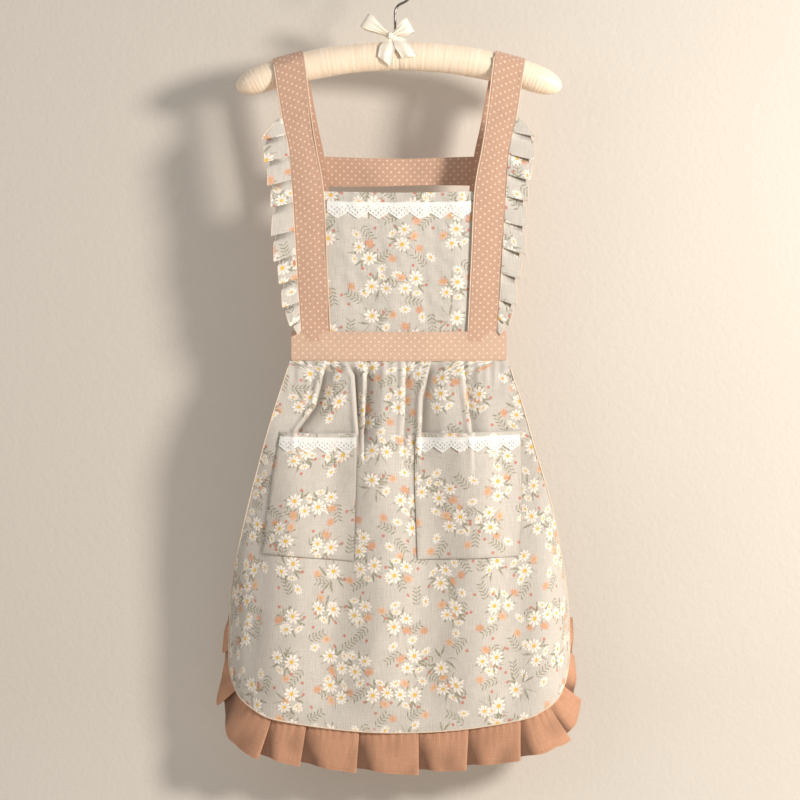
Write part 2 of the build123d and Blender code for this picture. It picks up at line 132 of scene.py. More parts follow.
class HangerSettings(bpy.types.PropertyGroup):
    """Sizes and colours of the padded hanger."""

    satin: colour_choice("Satin", "Colour of the sleeves' satin", srgb(251, 233, 210))
    ribbon: colour_choice("Ribbon", "Colour of the bow's ribbon", srgb(253, 246, 232))
    wood: colour_choice("Wood", "Colour of the wooden core", srgb(196, 150, 98))
    gather: length_choice("Gather pitch", "Distance between the sleeve's gathers", 5.2)
    gather_depth: length_choice("Gather depth", "How far the gathers stand up", 0.32)
    ribbon_width: length_choice("Ribbon width", "Width of the bow's ribbon", 19)


class BandSettings(bpy.types.PropertyGroup):
    """Sizes and colours of the straps, bands and ties."""

    cotton: colour_choice("Cotton", "Colour of the dotted cotton", srgb(206, 166, 141))
    pale: colour_choice("Waistband", "Colour of the waistband's cotton", srgb(217, 182, 157))
    dot: colour_choice("Dots", "Colour of the printed dots", srgb(240, 214, 190))
    row_gap: length_choice("Row gap", "Distance between rows of dots", 5)
    dot_gap: length_choice("Dot gap", "Distance between dots in a row", 10)
    dot_radius: length_choice("Dot radius", "Radius of a dot", 1.15)
    stitch: length_choice("Stitch pitch", "Distance from stitch to stitch", 3.4)


class PrintSettings(bpy.types.PropertyGroup):
    """Colours and sizes of the flower print."""

    linen: colour_choice("Linen", "Ground colour of the linen", srgb(212, 204, 193))
    petals: colour_choice("Petals", "Colour of the daisies' petals", srgb(252, 245, 234))
    hearts: colour_choice("Hearts", "Colour of the daisies' hearts", srgb(240, 196, 96))
    peach: colour_choice("Peach flowers", "Colour of the small peach flowers", srgb(238, 194, 165))
    buds: colour_choice("Buds", "Colour of the buds", srgb(208, 128, 108))
    leaves: colour_choice("Leaves", "Colour of the leaves", srgb(154, 149, 124))
    cell: length_choice("Spray distance", "Distance from one spray of flowers to the next", 52)


class LaceSettings(bpy.types.PropertyGroup):
    """Colours and sizes of the lace and cords."""

    lace: colour_choice("Lace", "Colour of the lace", srgb(255, 253, 248))
    piping: colour_choice("Piping", "Colour of the cord in the seams", srgb(250, 226, 200))
    drop: length_choice("Drop", "Depth of the lace at its points", 21)


class SkirtSettings(bpy.types.PropertyGroup):
    """Fullness of the skirt, its pockets and its ruffles."""

    fold: length_choice("Fold depth", "Depth of the folds below the waistband", 9)
    wave: length_choice("Wave depth", "Depth of the soft waves lower down", 5.5)
    pocket: length_choice("Pocket fullness", "How far a pocket stands off the skirt", 4.5)
    hem: colour_choice("Hem cotton", "Colour of the hem ruffle", srgb(203, 152, 121))
    hem_rise: length_choice("Hem pleat rise", "How far a hem pleat's edge stands up", 5)
    columns: IntProperty(name="Columns", description="Mesh columns of the skirt", default=400, min=60)


class StageSettings(bpy.types.PropertyGroup):
    """Backdrop and lights."""

    wall: colour_choice("Wall", "Colour of the backdrop", srgb(202, 194, 183))
    key: FloatProperty(name="Key light", description="Power of the main light", default=51, unit="POWER")
    fill: FloatProperty(name="Fill light", description="Power of the fill light", default=9, unit="POWER")
    room: FloatProperty(name="Room light", description="Strength of the even light", default=0.3)


# ---------------------------------------------------------------- nodes


def add(tree, kind, inputs=(), output=0, **settings):
    """Adds a node, fills its inputs by number or name, and gives back one of its outputs."""
    node = tree.nodes.new(kind)
    for key, value in settings.items():
        setattr(node, key, value)
    pairs = inputs.items() if isinstance(inputs, dict) else enumerate(inputs)
    for key, value in pairs:
        if isinstance(value, bpy.types.NodeSocket):
            tree.links.new(value, node.inputs[key])
        elif value is not None:
            node.inputs[key].default_value = value
    return node.outputs[output]


def calc(tree, operation, *values):
    """A sum on plain numbers."""
    return add(tree, "ShaderNodeMath", values, operation=operation)


def vector(tree, operation, *values):
    """A vector sum; the one that gives a number is in output 1."""
    output = 1 if operation in ("LENGTH", "DISTANCE", "DOT_PRODUCT") else 0
    return add(tree, "ShaderNodeVectorMath", values, output, operation=operation)


def mixed(tree, factor, below, above, blend="MIX"):
    """Two colours mixed by a mask."""
    inputs = {0: factor, 6: below, 7: above}
    return add(tree, "ShaderNodeMix", inputs, 2, data_type="RGBA", blend_type=blend)


def ramp(tree, value, start, end, low=0.0, high=1.0):
    """A value moved smoothly from one range to another, and kept inside it."""
    inputs = {0: value, 1: start, 2: end, 3: low, 4: high}
    return add(tree, "ShaderNodeMapRange", inputs, interpolation_type="SMOOTHSTEP")


def split(tree, value):
    """The three parts of a vector."""
    node = add(tree, "ShaderNodeSeparateXYZ", [value]).node
    return node.outputs[0], node.outputs[1], node.outputs[2]


def noise(tree, place, scale, detail=2.0, rough=0.5):
    """Soft noise from about 0 to 1."""
    inputs = {"Vector": place, "Scale": scale, "Detail": detail, "Roughness": rough}
    return add(tree, "ShaderNodeTexNoise", inputs, "Fac", noise_dimensions="3D")


def new_group(name, inputs, outputs):
    """A shader node group with named sockets: its tree, its inputs and its outputs."""
    tree = bpy.data.node_groups.new(name, "ShaderNodeTree")
    kinds = {float: "NodeSocketFloat", tuple: "NodeSocketColor", list: "NodeSocketVector"}
    for label, value in inputs.items():
        socket = tree.interface.new_socket(label, in_out="INPUT", socket_type=kinds[type(value)])
        socket.default_value = value
    for label, kind in outputs.items():
        tree.interface.new_socket(label, in_out="OUTPUT", socket_type=kinds[kind])
    given = tree.nodes.new("NodeGroupInput").outputs
    result = tree.nodes.new("NodeGroupOutput").inputs
    return tree, given, result


def use(tree, group, inputs):
    """Places a group in a tree and gives back its outputs."""
    node = tree.nodes.new("ShaderNodeGroup")
    node.node_tree = bpy.data.node_groups[group]
    for key, value in inputs.items():
        if isinstance(value, bpy.types.NodeSocket):
            tree.links.new(value, node.inputs[key])
        else:
            node.inputs[key].default_value = value
    return node.outputs


def build_woven_group():
    """Threads and slubs of a plain woven cloth, with painted shade that darkens its folds and hollows."""
    grey = (0.5, 0.5, 0.5, 1.0)
    inputs = {"Colour": grey, "Cloth": [0.0, 0.0, 0.0], "Painted shade": 0.0, "Thread": 0.0007, "Streaks": 0.5}
    tree, given, result = new_group("Woven cloth", inputs, {"Colour": tuple, "Height": float})
    across, along, _ = split(tree, given["Cloth"])
    turn = calc(tree, "DIVIDE", 2 * math.pi, given["Thread"])
    warp = calc(tree, "SINE", calc(tree, "MULTIPLY", across, turn))
    weft = calc(tree, "SINE", calc(tree, "MULTIPLY", along, turn))
    weave = calc(tree, "MULTIPLY", warp, weft)
    upright = noise(tree, vector(tree, "MULTIPLY", given["Cloth"], (900.0, 55.0, 1.0)), 1.0)
    level = noise(tree, vector(tree, "MULTIPLY", given["Cloth"], (60.0, 800.0, 1.0)), 1.0)
    cloudy = noise(tree, given["Cloth"], 26.0, 3.0)
    slubs = calc(tree, "SUBTRACT", calc(tree, "MULTIPLY_ADD", upright, 1.4, level), 1.2)
    shade = calc(tree, "MULTIPLY_ADD", calc(tree, "MULTIPLY", slubs, given["Streaks"]), 0.5, 1.0)
    clouds = calc(tree, "MULTIPLY_ADD", cloudy, 0.12, 0.94)
    # Painted shade: the colour is darkened by up to 0.6 where the mesh's shade mask is set.
    painted_shade = calc(tree, "MULTIPLY_ADD", given["Painted shade"], -0.6, 1.0)
    total = calc(tree, "MULTIPLY", calc(tree, "MULTIPLY", shade, clouds), painted_shade)
    tone = add(tree, "ShaderNodeCombineXYZ", [total, total, total])
    tree.links.new(mixed(tree, 1.0, given["Colour"], tone, "MULTIPLY"), result["Colour"])
    height = calc(tree, "MULTIPLY_ADD", weave, 0.35, calc(tree, "MULTIPLY", slubs, 1.2))
    tree.links.new(height, result["Height"])


def build_dots_group():
    """Staggered round dots."""
    inputs = {"Cloth": [0.0, 0.0, 0.0], "Row gap": 0.005, "Dot gap": 0.01, "Radius": 0.0013}
    tree, given, result = new_group("Printed dots", inputs, {"Mask": float})
    across, along, _ = split(tree, given["Cloth"])
    row = calc(tree, "DIVIDE", along, given["Row gap"])
    odd = calc(tree, "MULTIPLY", calc(tree, "FLOORED_MODULO", calc(tree, "FLOOR", row), 2.0), 0.5)
    column = calc(tree, "ADD", calc(tree, "DIVIDE", across, given["Dot gap"]), odd)
    x = calc(tree, "MULTIPLY", calc(tree, "SUBTRACT", calc(tree, "FRACT", column), 0.5), given["Dot gap"])
    y = calc(tree, "MULTIPLY", calc(tree, "SUBTRACT", calc(tree, "FRACT", row), 0.5), given["Row gap"])
    reach = vector(tree, "LENGTH", add(tree, "ShaderNodeCombineXYZ", [x, y, 0.0]))
    wide = calc(tree, "ADD", given["Radius"], 0.0003)
    tree.links.new(calc(tree, "SUBTRACT", 1.0, ramp(tree, reach, calc(tree, "SUBTRACT", wide, 0.0006), wide)),
                   result["Mask"])


def build_daisy_group():
    """One daisy: its petals, its heart and the lines between the petals."""
    inputs = {"Place": [0.0, 0.0, 0.0], "Radius": 0.009, "Turn": 0.0}
    tree, given, result = new_group("Daisy", inputs, {"Petals": float, "Heart": float, "Lines": float})
    x, y, _ = split(tree, given["Place"])
    reach = calc(tree, "DIVIDE", vector(tree, "LENGTH", given["Place"]), given["Radius"])
    angle = calc(tree, "ADD", calc(tree, "ARCTAN2", y, x), given["Turn"])
    lobe = calc(tree, "ABSOLUTE", calc(tree, "COSINE", calc(tree, "MULTIPLY", angle, 4.5)))
    edge = calc(tree, "MULTIPLY_ADD", calc(tree, "POWER", lobe, 0.6), 0.62, 0.36)
    edge = calc(tree, "MULTIPLY_ADD", calc(tree, "SINE", calc(tree, "MULTIPLY", angle, 2.0)), 0.08, edge)
    tree.links.new(ramp(tree, calc(tree, "SUBTRACT", edge, reach), 0.0, 0.1), result["Petals"])
    tree.links.new(ramp(tree, reach, 0.3, 0.2), result["Heart"])
    near = ramp(tree, reach, 0.85, 0.3)
    tree.links.new(calc(tree, "MULTIPLY", ramp(tree, lobe, 0.55, 0.1), near), result["Lines"])


def build_leaf_group():
    """One pointed leaf or stem, from its foot along a direction."""
    inputs = {"Place": [0.0, 0.0, 0.0], "Foot": [0.0, 0.0, 0.0], "Turn": 0.0, "Length": 0.01, "Width": 0.001}
    tree, given, result = new_group("Leaf", inputs, {"Mask": float})
    from_foot = vector(tree, "SUBTRACT", given["Place"], given["Foot"])
    rotated = add(tree, "ShaderNodeVectorRotate", {"Vector": from_foot, "Angle": given["Turn"]},
                  rotation_type="Z_AXIS", invert=True)
    x, y, _ = split(tree, rotated)
    part = calc(tree, "DIVIDE", x, given["Length"])
    belly = calc(tree, "MULTIPLY", calc(tree, "MULTIPLY", part, calc(tree, "SUBTRACT", 1.0, part)), 4.0)
    gap = calc(tree, "SUBTRACT", calc(tree, "MULTIPLY", belly, given["Width"]), calc(tree, "ABSOLUTE", y))
    tree.links.new(ramp(tree, gap, -0.0001, 0.0004), result["Mask"])


def build_print_group(name, leaves, flowers, buds, spread):
    """A bunch of printed leaves, flowers and buds in every cell of a net, each turned its own way.

    leaves are (x, y, turn, length, width), flowers are (x, y, radius, squash, colour, least chance)
    and buds are (x, y, radius), in millimetres from the bunch's middle."""
    ink = (0.5, 0.5, 0.5, 1.0)
    inputs = {"Ground": ink, "Cloth": [0.0, 0.0, 0.0], "Cell": 0.05, "Petals": ink, "Hearts": ink,
              "Peach": ink, "Buds": ink, "Leaves": ink}
    tree, given, result = new_group(name, inputs, {"Colour": tuple})
    size = add(tree, "ShaderNodeCombineXYZ", [given["Cell"], given["Cell"], 1.0])
    net = vector(tree, "DIVIDE", given["Cloth"], size)
    cell = add(tree, "ShaderNodeTexVoronoi", {"Vector": net, "Scale": 1.0, "Randomness": spread},
               voronoi_dimensions="2D").node
    offset = vector(tree, "SUBTRACT", net, cell.outputs["Position"])
    size = add(tree, "ShaderNodeCombineXYZ", [given["Cell"], given["Cell"], 0.0])
    offset = vector(tree, "MULTIPLY", offset, size)
    chance = add(tree, "ShaderNodeSeparateColor", [cell.outputs["Color"]]).node.outputs
    turn = calc(tree, "MULTIPLY", chance[0], 2 * math.pi)
    place = add(tree, "ShaderNodeVectorRotate", {"Vector": offset, "Angle": turn}, rotation_type="Z_AXIS")
    green = 0.0
    for x, y, angle, length, width in leaves:
        leaf = use(tree, "Leaf", {"Place": place, "Foot": (x * MM, y * MM, 0), "Turn": angle,
                                  "Length": length * MM, "Width": width * MM})
        green = calc(tree, "MAXIMUM", green, leaf["Mask"])
    brushed = ramp(tree, noise(tree, given["Cloth"], 300.0), 0.3, 0.6, 0.35, 0.95)
    colour = mixed(tree, calc(tree, "MULTIPLY", green, brushed), given["Ground"], given["Leaves"])
    blush = mixed(tree, calc(tree, "MULTIPLY", chance[1], 0.5), given["Peach"], given["Buds"])
    wash = ramp(tree, noise(tree, given["Cloth"], 190.0), 0.35, 0.75, 0.0, 0.28)
    tinted = {"Petals": mixed(tree, wash, given["Petals"], given["Peach"]), "Peach": blush}
    for x, y, radius, squash, kind, least in flowers:
        moved = vector(tree, "SUBTRACT", place, (x * MM, y * MM, 0))
        moved = vector(tree, "MULTIPLY", moved, (1.0, squash, 1.0))
        daisy = use(tree, "Daisy", {"Place": moved, "Radius": radius * MM, "Turn": x})
        shown = calc(tree, "GREATER_THAN", chance[2], least)
        lined = mixed(tree, calc(tree, "MULTIPLY", daisy["Lines"], 0.75), tinted[kind], given["Leaves"])
        colour = mixed(tree, calc(tree, "MULTIPLY", daisy["Petals"], shown), colour, lined)
        heart = mixed(tree, 0.35 if kind == "Peach" else 0.0, given["Hearts"], given["Buds"])
        colour = mixed(tree, calc(tree, "MULTIPLY", daisy["Heart"], shown), colour, heart)
    for x, y, radius in buds:
        reach = vector(tree, "DISTANCE", place, (x * MM, y * MM, 0.0))
        colour = mixed(tree, ramp(tree, reach, (radius + 0.4) * MM, (radius - 0.4) * MM, 0.0, 0.85),
                       colour, given["Buds"])
    tree.links.new(colour, result["Colour"])


def build_flower_groups():
    """The large sprays of daisies, and the leafy sprigs between them."""
    leaves = [(-3, -2, 3.6, 16, 1.6), (-2, 0, 2.5, 18, 1.4), (3, 2, 1.3, 17, 1.7), (2, -3, 5.0, 18, 1.5),
              (-6, -3, 4.3, 15, 1.6), (1, 1, 0.4, 23, 0.6), (-1, -2, 3.15, 23, 0.6), (4, -6, 5.9, 15, 1.5),
              (-8, 6, 2.0, 13, 1.6), (0, 4, 1.8, 20, 0.6)]
    flowers = [(10, 10.5, 6.8, 1.1, "Peach", 0.5), (-3, -13.5, 7.2, 1.65, "Petals", 0.2),
               (9.5, -4, 9.0, 1.1, "Petals", 0.15), (-7, 4.5, 10.2, 1.0, "Petals", -1.0)]
    build_print_group("Daisy spray", leaves, flowers, [(-17, -7, 2.0)], 0.55)
    stem = [(-12, -5, 0.25, 28, 0.6), (-4, -3, 1.1, 13, 0.5)]
    for k in range(5):
        x, y = -9 + 4.6 * k, -4.2 + 1.2 * k
        stem += [(x, y, 1.15, 7.5, 1.1), (x, y, -0.65, 7.5, 1.1)]
    flowers = [(9, 10, 6.4, 1.15, "Peach", 0.3), (-9, 8, 7.6, 1.35, "Petals", 0.1)]
    build_print_group("Leafy sprig", stem, flowers, [(5, -12, 2.0)], 0.7)


def attribute(tree, name, output):
    """A value that each point of a mesh carries."""
    return add(tree, "ShaderNodeAttribute", output=output, attribute_name=name)


def new_finish(name, **fixed):
    """A material with one Principled shader; its fixed values are set on its own sockets."""
    finish = bpy.data.materials.new(name)
    finish.use_nodes = True
    shader = finish.node_tree.nodes["Principled BSDF"]
    for label, value in fixed.items():
        shader.inputs[label.replace("_", " ")].default_value = value
    return finish, finish.node_tree, shader.inputs


def bumped(tree, shader, height, distance, strength=1.0):
    """Joins a height to the shader's Normal through a Bump node."""
    inputs = {"Height": height, "Distance": distance, "Strength": strength}
    tree.links.new(add(tree, "ShaderNodeBump", inputs, "Normal"), shader["Normal"])


def solid(colour):
    """A colour with full opacity."""
    return (*colour, 1.0)


def woven_finish(tree, shader, colour, thread, streaks, bump):
    """The part that every woven cloth shares: threads, slubs, painted shade in the folds and hollows, and
    bump.
    """
    woven = use(tree, "Woven cloth", {"Colour": colour, "Cloth": attribute(tree, "cloth", "Vector"),
                "Painted shade": attribute(tree, "painted_shade", "Fac"), "Thread": thread, "Streaks": streaks})
    tree.links.new(woven["Colour"], shader["Base Color"])
    bumped(tree, shader, woven["Height"], bump)


def make_linen(choice):
    """Linen printed with two layers of flowers, and its paler wrong side."""
    ink = {"Petals": solid(choice.petals), "Hearts": solid(choice.hearts), "Peach": solid(choice.peach),
           "Buds": solid(choice.buds), "Leaves": solid(choice.leaves)}
    fixed = {"Roughness": 0.88, "Sheen_Weight": 0.12, "Sheen_Roughness": 0.5, "Specular_IOR_Level": 0.25}
    _, tree, shader = new_finish("Printed linen", **fixed)
    cloth = attribute(tree, "cloth", "Vector")
    small = vector(tree, "ADD", cloth, (0.317, 0.141, 0.0))
    under = use(tree, "Leafy sprig", {"Ground": solid(choice.linen), "Cloth": small,
                "Cell": choice.cell * 0.8, **ink})["Colour"]
    print_colour = use(tree, "Daisy spray", {"Ground": under, "Cloth": cloth, "Cell": choice.cell,
                       **ink})["Colour"]
    woven_finish(tree, shader, print_colour, 0.0008, 0.5, 0.00022)
    _, tree, shader = new_finish("Linen wrong side", **fixed)
    woven_finish(tree, shader, solid(choice.linen), 0.0008, 0.6, 0.00022)


def make_dotted(name, choice, cotton):
    """Cotton with woven-in staggered dots."""
    _, tree, shader = new_finish(name, Roughness=0.82, Sheen_Weight=0.15, Specular_IOR_Level=0.3)
    mask = use(tree, "Printed dots", {"Cloth": attribute(tree, "cloth", "Vector"), "Row gap": choice.row_gap,
               "Dot gap": choice.dot_gap, "Radius": choice.dot_radius})["Mask"]
    colour = mixed(tree, mask, solid(cotton), solid(choice.dot))
    woven_finish(tree, shader, colour, 0.0006, 0.28, 0.00016)


def make_plain(name, colour, streaks=0.45, bump=0.00022):
    """Plain woven cotton."""
    _, tree, shader = new_finish(name, Roughness=0.85, Sheen_Weight=0.18, Specular_IOR_Level=0.25)
    woven_finish(tree, shader, solid(colour), 0.0007, streaks, bump)


def make_thread(name, colour, depth=0.8):
    """Twisted cotton thread, for lace, cords and stitches."""
    _, tree, shader = new_finish(name, Roughness=0.75, Sheen_Weight=0.2, Specular_IOR_Level=0.3)
    place = add(tree, "ShaderNodeTexCoord", output="Object")
    inputs = {"Vector": place, "Scale": 420.0, "Distortion": 3.0, "Detail": 2.0}
    twist = add(tree, "ShaderNodeTexWave", inputs, "Fac", bands_direction="DIAGONAL")
    fuzz = noise(tree, place, 700.0)
    dark = tuple(part * depth for part in colour)
    shade = mixed(tree, ramp(tree, fuzz, 0.35, 0.75), solid(dark), solid(colour))
    tree.links.new(shade, shader["Base Color"])
    bumped(tree, shader, calc(tree, "ADD", twist, fuzz), 0.0002)


def make_satin(name, colour, rough, gather):
    """Silky satin with fine pulls across the gathers."""
    _, tree, shader = new_finish(name, Roughness=rough, Sheen_Weight=0.25, Sheen_Roughness=0.3,
                                      Specular_IOR_Level=0.6, Anisotropic=0.5)
    cloth = attribute(tree, "cloth", "Vector")
    pulls = noise(tree, vector(tree, "MULTIPLY", cloth, (1 / gather, 14.0, 1.0)), 1.0, 3.0)
    fine = noise(tree, vector(tree, "MULTIPLY", cloth, (900.0, 40.0, 1.0)), 1.0)
    warm = tuple(part * tint for part, tint in zip(colour, (0.97, 0.9, 0.83)))
    # Painted shade: the colour turns to the darker warm tint in the low parts of the pulls, which the bump
    # follows too.
    tone = ramp(tree, calc(tree, "MULTIPLY_ADD", fine, 0.3, pulls), 0.35, 0.9)
    base = mixed(tree, tone, solid(warm), solid(colour))
    # Painted shade: the satin takes its darker warm tint in the folds of its gathers and pleats.
    shaded_satin = mixed(tree, calc(tree, "MULTIPLY", attribute(tree, "painted_shade", "Fac"), 0.5), base, solid(warm))
    tree.links.new(shaded_satin, shader["Base Color"])
    tree.links.new(ramp(tree, pulls, 0.2, 0.8, rough + 0.1, rough - 0.08), shader["Roughness"])
    bumped(tree, shader, calc(tree, "MULTIPLY_ADD", fine, 0.15, pulls), 0.0009)


def make_metal(name, colour, rough):
    """Drawn wire with fine lines and worn patches."""
    _, tree, shader = new_finish(name, Metallic=1.0)
    place = add(tree, "ShaderNodeTexCoord", output="Object")
    lines = noise(tree, vector(tree, "MULTIPLY", place, (900.0, 900.0, 60.0)), 1.0, 4.0)
    worn = noise(tree, place, 55.0, 4.0)
    dark = tuple(part * 0.72 for part in colour)
    tree.links.new(mixed(tree, ramp(tree, worn, 0.35, 0.7), solid(dark), solid(colour)), shader["Base Color"])
    tree.links.new(ramp(tree, lines, 0.2, 0.8, rough - 0.06, rough + 0.12), shader["Roughness"])
    bumped(tree, shader, lines, 0.00006)


def make_wood(colour):
    """Planed hardwood with rings along the bar."""
    _, tree, shader = new_finish("Core wood", Roughness=0.55)
    place = add(tree, "ShaderNodeTexCoord", output="Object")
    long = vector(tree, "MULTIPLY", place, (12.0, 130.0, 130.0))
    grain = noise(tree, long, 1.0, 6.0, 0.6)
    inputs = {"Vector": long, "Scale": 0.6, "Distortion": 7.0, "Detail": 3.0}
    rings = add(tree, "ShaderNodeTexWave", inputs, "Fac")
    dark = tuple(part * 0.55 for part in colour)
    tone = ramp(tree, calc(tree, "MULTIPLY_ADD", rings, 0.45, grain), 0.4, 1.0)
    tree.links.new(mixed(tree, tone, solid(dark), solid(colour)), shader["Base Color"])
    bumped(tree, shader, grain, 0.0002)


def make_wadding():
    """Fluffy polyester wadding."""
    _, tree, shader = new_finish("Wadding", Roughness=0.95, Sheen_Weight=0.5)
    place = add(tree, "ShaderNodeTexCoord", output="Object")
    fluff = noise(tree, place, 260.0, 6.0, 0.7)
    tree.links.new(mixed(tree, fluff, (0.7, 0.68, 0.64, 1), (0.95, 0.94, 0.91, 1)), shader["Base Color"])
    bumped(tree, shader, fluff, 0.0015)


# ---------------------------------------------------------------- meshes


def smooth_line(points, count):
    """Evenly spaced points along a smooth curve through the given points."""
    given = np.array(points, float)
    ends = np.vstack([2 * given[0] - given[1], given, 2 * given[-1] - given[-2]])
    t = np.linspace(0, 1, 20, endpoint=False)[:, None]
    runs = []
    for a, b, c, d in zip(ends, ends[1:], ends[2:], ends[3:]):
        runs.append(b + 0.5 * t * (c - a + t * (2 * a - 5 * b + 4 * c - d + t * (3 * b - a - 3 * c + d))))
    fine = np.vstack([*runs, given[-1:]])
    along = np.concatenate([[0], np.cumsum(np.linalg.norm(np.diff(fine, axis=0), axis=1))])
    want = np.linspace(0, along[-1], count)
    return np.column_stack([np.interp(want, along, column) for column in fine.T])


def smoothstep(start, end, value):
    """0 before the start, 1 past the end, and smooth between them."""
    t = np.clip((value - start) / (end - start), 0, 1)
    return t * t * (3 - 2 * t)


def uneven(x, y, size, seed):
    """Soft unevenness from about -1 to 1, the same every time, with bumps of about the given size."""
    chance = np.random.default_rng(seed)
    total = 0.0
    for _ in range(7):
        angle, start = chance.uniform(0, 2 * math.pi, 2)
        wave = size * chance.uniform(0.7, 1.9)
        total = total + np.sin((x * math.cos(angle) + y * math.sin(angle)) * 2 * math.pi / wave + start)
    return total / 3.5


def place_piece(piece, body, stands_for):
    """Puts a piece in the scene, on its body, in the place of its CAD nodes."""
    if piece.name not in bpy.context.scene.collection.objects:
        bpy.context.scene.collection.objects.link(piece)
    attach(piece, body)
    if stands_for:
        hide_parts(*stands_for)
    return piece


def mesh_piece(name, points, faces, finishes, attributes, face_finish=None):
    """An object from points in millimetres, with its attributes and materials."""
    mesh = bpy.data.meshes.new(name)
    mesh.from_pydata((np.asarray(points) * MM).tolist(), [], [list(map(int, face)) for face in faces])
    for label, values in attributes.items():
        kind = "FLOAT_VECTOR" if values.ndim == 2 else "FLOAT"
        layer = mesh.attributes.new(label, kind, "POINT")
        layer.data.foreach_set("vector" if values.ndim == 2 else "value", values.astype(np.float32).ravel())
    for finish in finishes:
        mesh.materials.append(bpy.data.materials[finish])
    if face_finish is not None:
        mesh.polygons.foreach_set("material_index", face_finish.astype(np.int32))
    mesh.shade_smooth()
    mesh.set_sharp_from_angle(angle=math.radians(55))
    return bpy.data.objects.new(name, mesh)


def running_length(points, axis):
    """Distance run along one axis of a grid of points."""
    steps = np.linalg.norm(np.diff(points, axis=axis), axis=2)
    start = np.zeros_like(np.take(steps, [0], axis=axis))
    return np.concatenate([start, np.cumsum(steps, axis=axis)], axis=axis)


def cloth_sheet(name, points, thick, finishes, cloth=None, painted_shade=None):
    """A closed sheet of cloth, half its thickness to each side of a grid of points.

    Rows run down and columns run to the right as seen from the cloth's right side. cloth is each
    point's place on the flat cloth, and is measured on the grid when it isn't given."""
    rows, columns = points.shape[:2]
    normal = np.cross(np.gradient(points, axis=0), np.gradient(points, axis=1))
    normal /= np.maximum(np.linalg.norm(normal, axis=2, keepdims=True), 1e-9)
    both = np.concatenate([points + normal * thick / 2, points - normal * thick / 2]).reshape(-1, 3)
    index = np.arange(rows * columns).reshape(rows, columns)
    quads = [index[:-1, :-1], index[1:, :-1], index[1:, 1:], index[:-1, 1:]]
    front = np.stack(quads, -1).reshape(-1, 4)
    back = front[:, ::-1] + rows * columns
    loop = np.concatenate([index[0, :-1], index[:-1, -1], index[-1, :0:-1], index[:0:-1, 0]])
    after = np.roll(loop, -1)
    rim = np.stack([loop, after, after + rows * columns, loop + rows * columns], -1)
    if cloth is None:
        across = running_length(points, 1)
        cloth = np.stack([across - across[:, -1:] / 2, running_length(points, 0)], -1)
    flat = np.zeros((rows, columns, 3))
    flat[..., :2] = cloth * MM
    # Painted shade: a share from 0 to 1 by which each point's colour is darkened in hollows and folds.
    painted_shade = np.zeros((rows, columns)) if painted_shade is None else np.clip(painted_shade, 0, 1)
    attributes = {"cloth": np.tile(flat.reshape(-1, 3), (2, 1)), "painted_shade": np.tile(painted_shade.ravel(), 2)}
    faces = np.concatenate([front, rim, back])
    side = np.zeros(len(faces))
    if len(finishes) > 1:
        side[len(front) + len(rim):] = 1
    return mesh_piece(name, both, faces, finishes, attributes, side)


def skin(name, rings, finish, cloth, painted_shade=None):
    """A closed, rounded piece through rings of points, drawn together at both ends."""
    count, around = rings.shape[:2]
    points = np.concatenate([rings.reshape(-1, 3), rings[0].mean(0)[None], rings[-1].mean(0)[None]])
    index = np.arange(count * around).reshape(count, around)
    beside = np.roll(index, -1, axis=1)
    walls = np.stack([index[:-1], index[1:], beside[1:], beside[:-1]], -1).reshape(-1, 4)
    first, last = count * around, count * around + 1
    faces = [*walls]
    faces += [(first, a, b) for a, b in zip(index[0], beside[0])]
    faces += [(last, b, a) for a, b in zip(index[-1], beside[-1])]
    flat = np.zeros((len(points), 3))
    flat[:-2, :2] = cloth.reshape(-1, 2) * MM
    flat[-2, :2] = cloth[0].mean(0) * MM
    flat[-1, :2] = cloth[-1].mean(0) * MM
    # Painted shade for the piece's hollows, one share per point.
    dark = np.zeros(len(points))
    if painted_shade is not None:
        dark[:-2] = painted_shade.ravel()
    piece = mesh_piece(name, points, faces, [finish], {"cloth": flat, "painted_shade": dark})
    work = bmesh.new()
    work.from_mesh(piece.data)
    bmesh.ops.recalc_face_normals(work, faces=work.faces)
    work.to_mesh(piece.data)
    work.free()
    return piece


def from_curve(name, curve, finish):
    """A mesh object from a curve, which is thrown away."""
    holder = bpy.data.objects.new(name + "_line", curve)
    bpy.context.scene.collection.objects.link(holder)
    bpy.context.view_layer.update()
    mesh = bpy.data.meshes.new_from_object(holder)
    bpy.data.objects.remove(holder)
    bpy.data.curves.remove(curve)
    mesh.name = name
    mesh.materials.clear()
    mesh.materials.append(bpy.data.materials[finish])
    mesh.shade_smooth()
    return bpy.data.objects.new(name, mesh)


def cords(name, paths, radius, finish, taper=False):
    """Round cords along lines of points, as one mesh; with taper each is thin at its ends."""
    curve = bpy.data.curves.new(name + "_curve", "CURVE")
    curve.dimensions = "3D"
    curve.bevel_depth = radius * MM
    curve.bevel_resolution = 1
    curve.use_fill_caps = True
    for path in paths:
        spline = curve.splines.new("POLY")
        spline.points.add(len(path) - 1)
        spline.points.foreach_set("co", np.column_stack([path * MM, np.ones(len(path))]).ravel())
        spline.use_smooth = True
        if taper:
            spline.points[0].radius = spline.points[-1].radius = 0.35
    return from_curve(name, curve, finish)


def stitch_paths(line, pitch, out, length=0.62, rise=0.28):
    """Short stitches along a line of points; out is the direction that they stand up in."""
    run = np.concatenate([[0], np.cumsum(np.linalg.norm(np.diff(line, axis=0), axis=1))])
    starts = np.arange(pitch / 2, run[-1] - pitch, pitch)
    out = np.broadcast_to(np.asarray(out, float), line.shape)
    paths = []
    for start in starts:
        along = start + pitch * length * np.array([0, 0.25, 0.75, 1])
        place = np.column_stack([np.interp(along, run, column) for column in line.T])
        lift = np.column_stack([np.interp(along, run, column) for column in out.T])
        paths.append(place + lift * rise * np.array([[-0.6], [1], [1], [-0.6]]))
    return paths


# ---------------------------------------------------------------- hanger


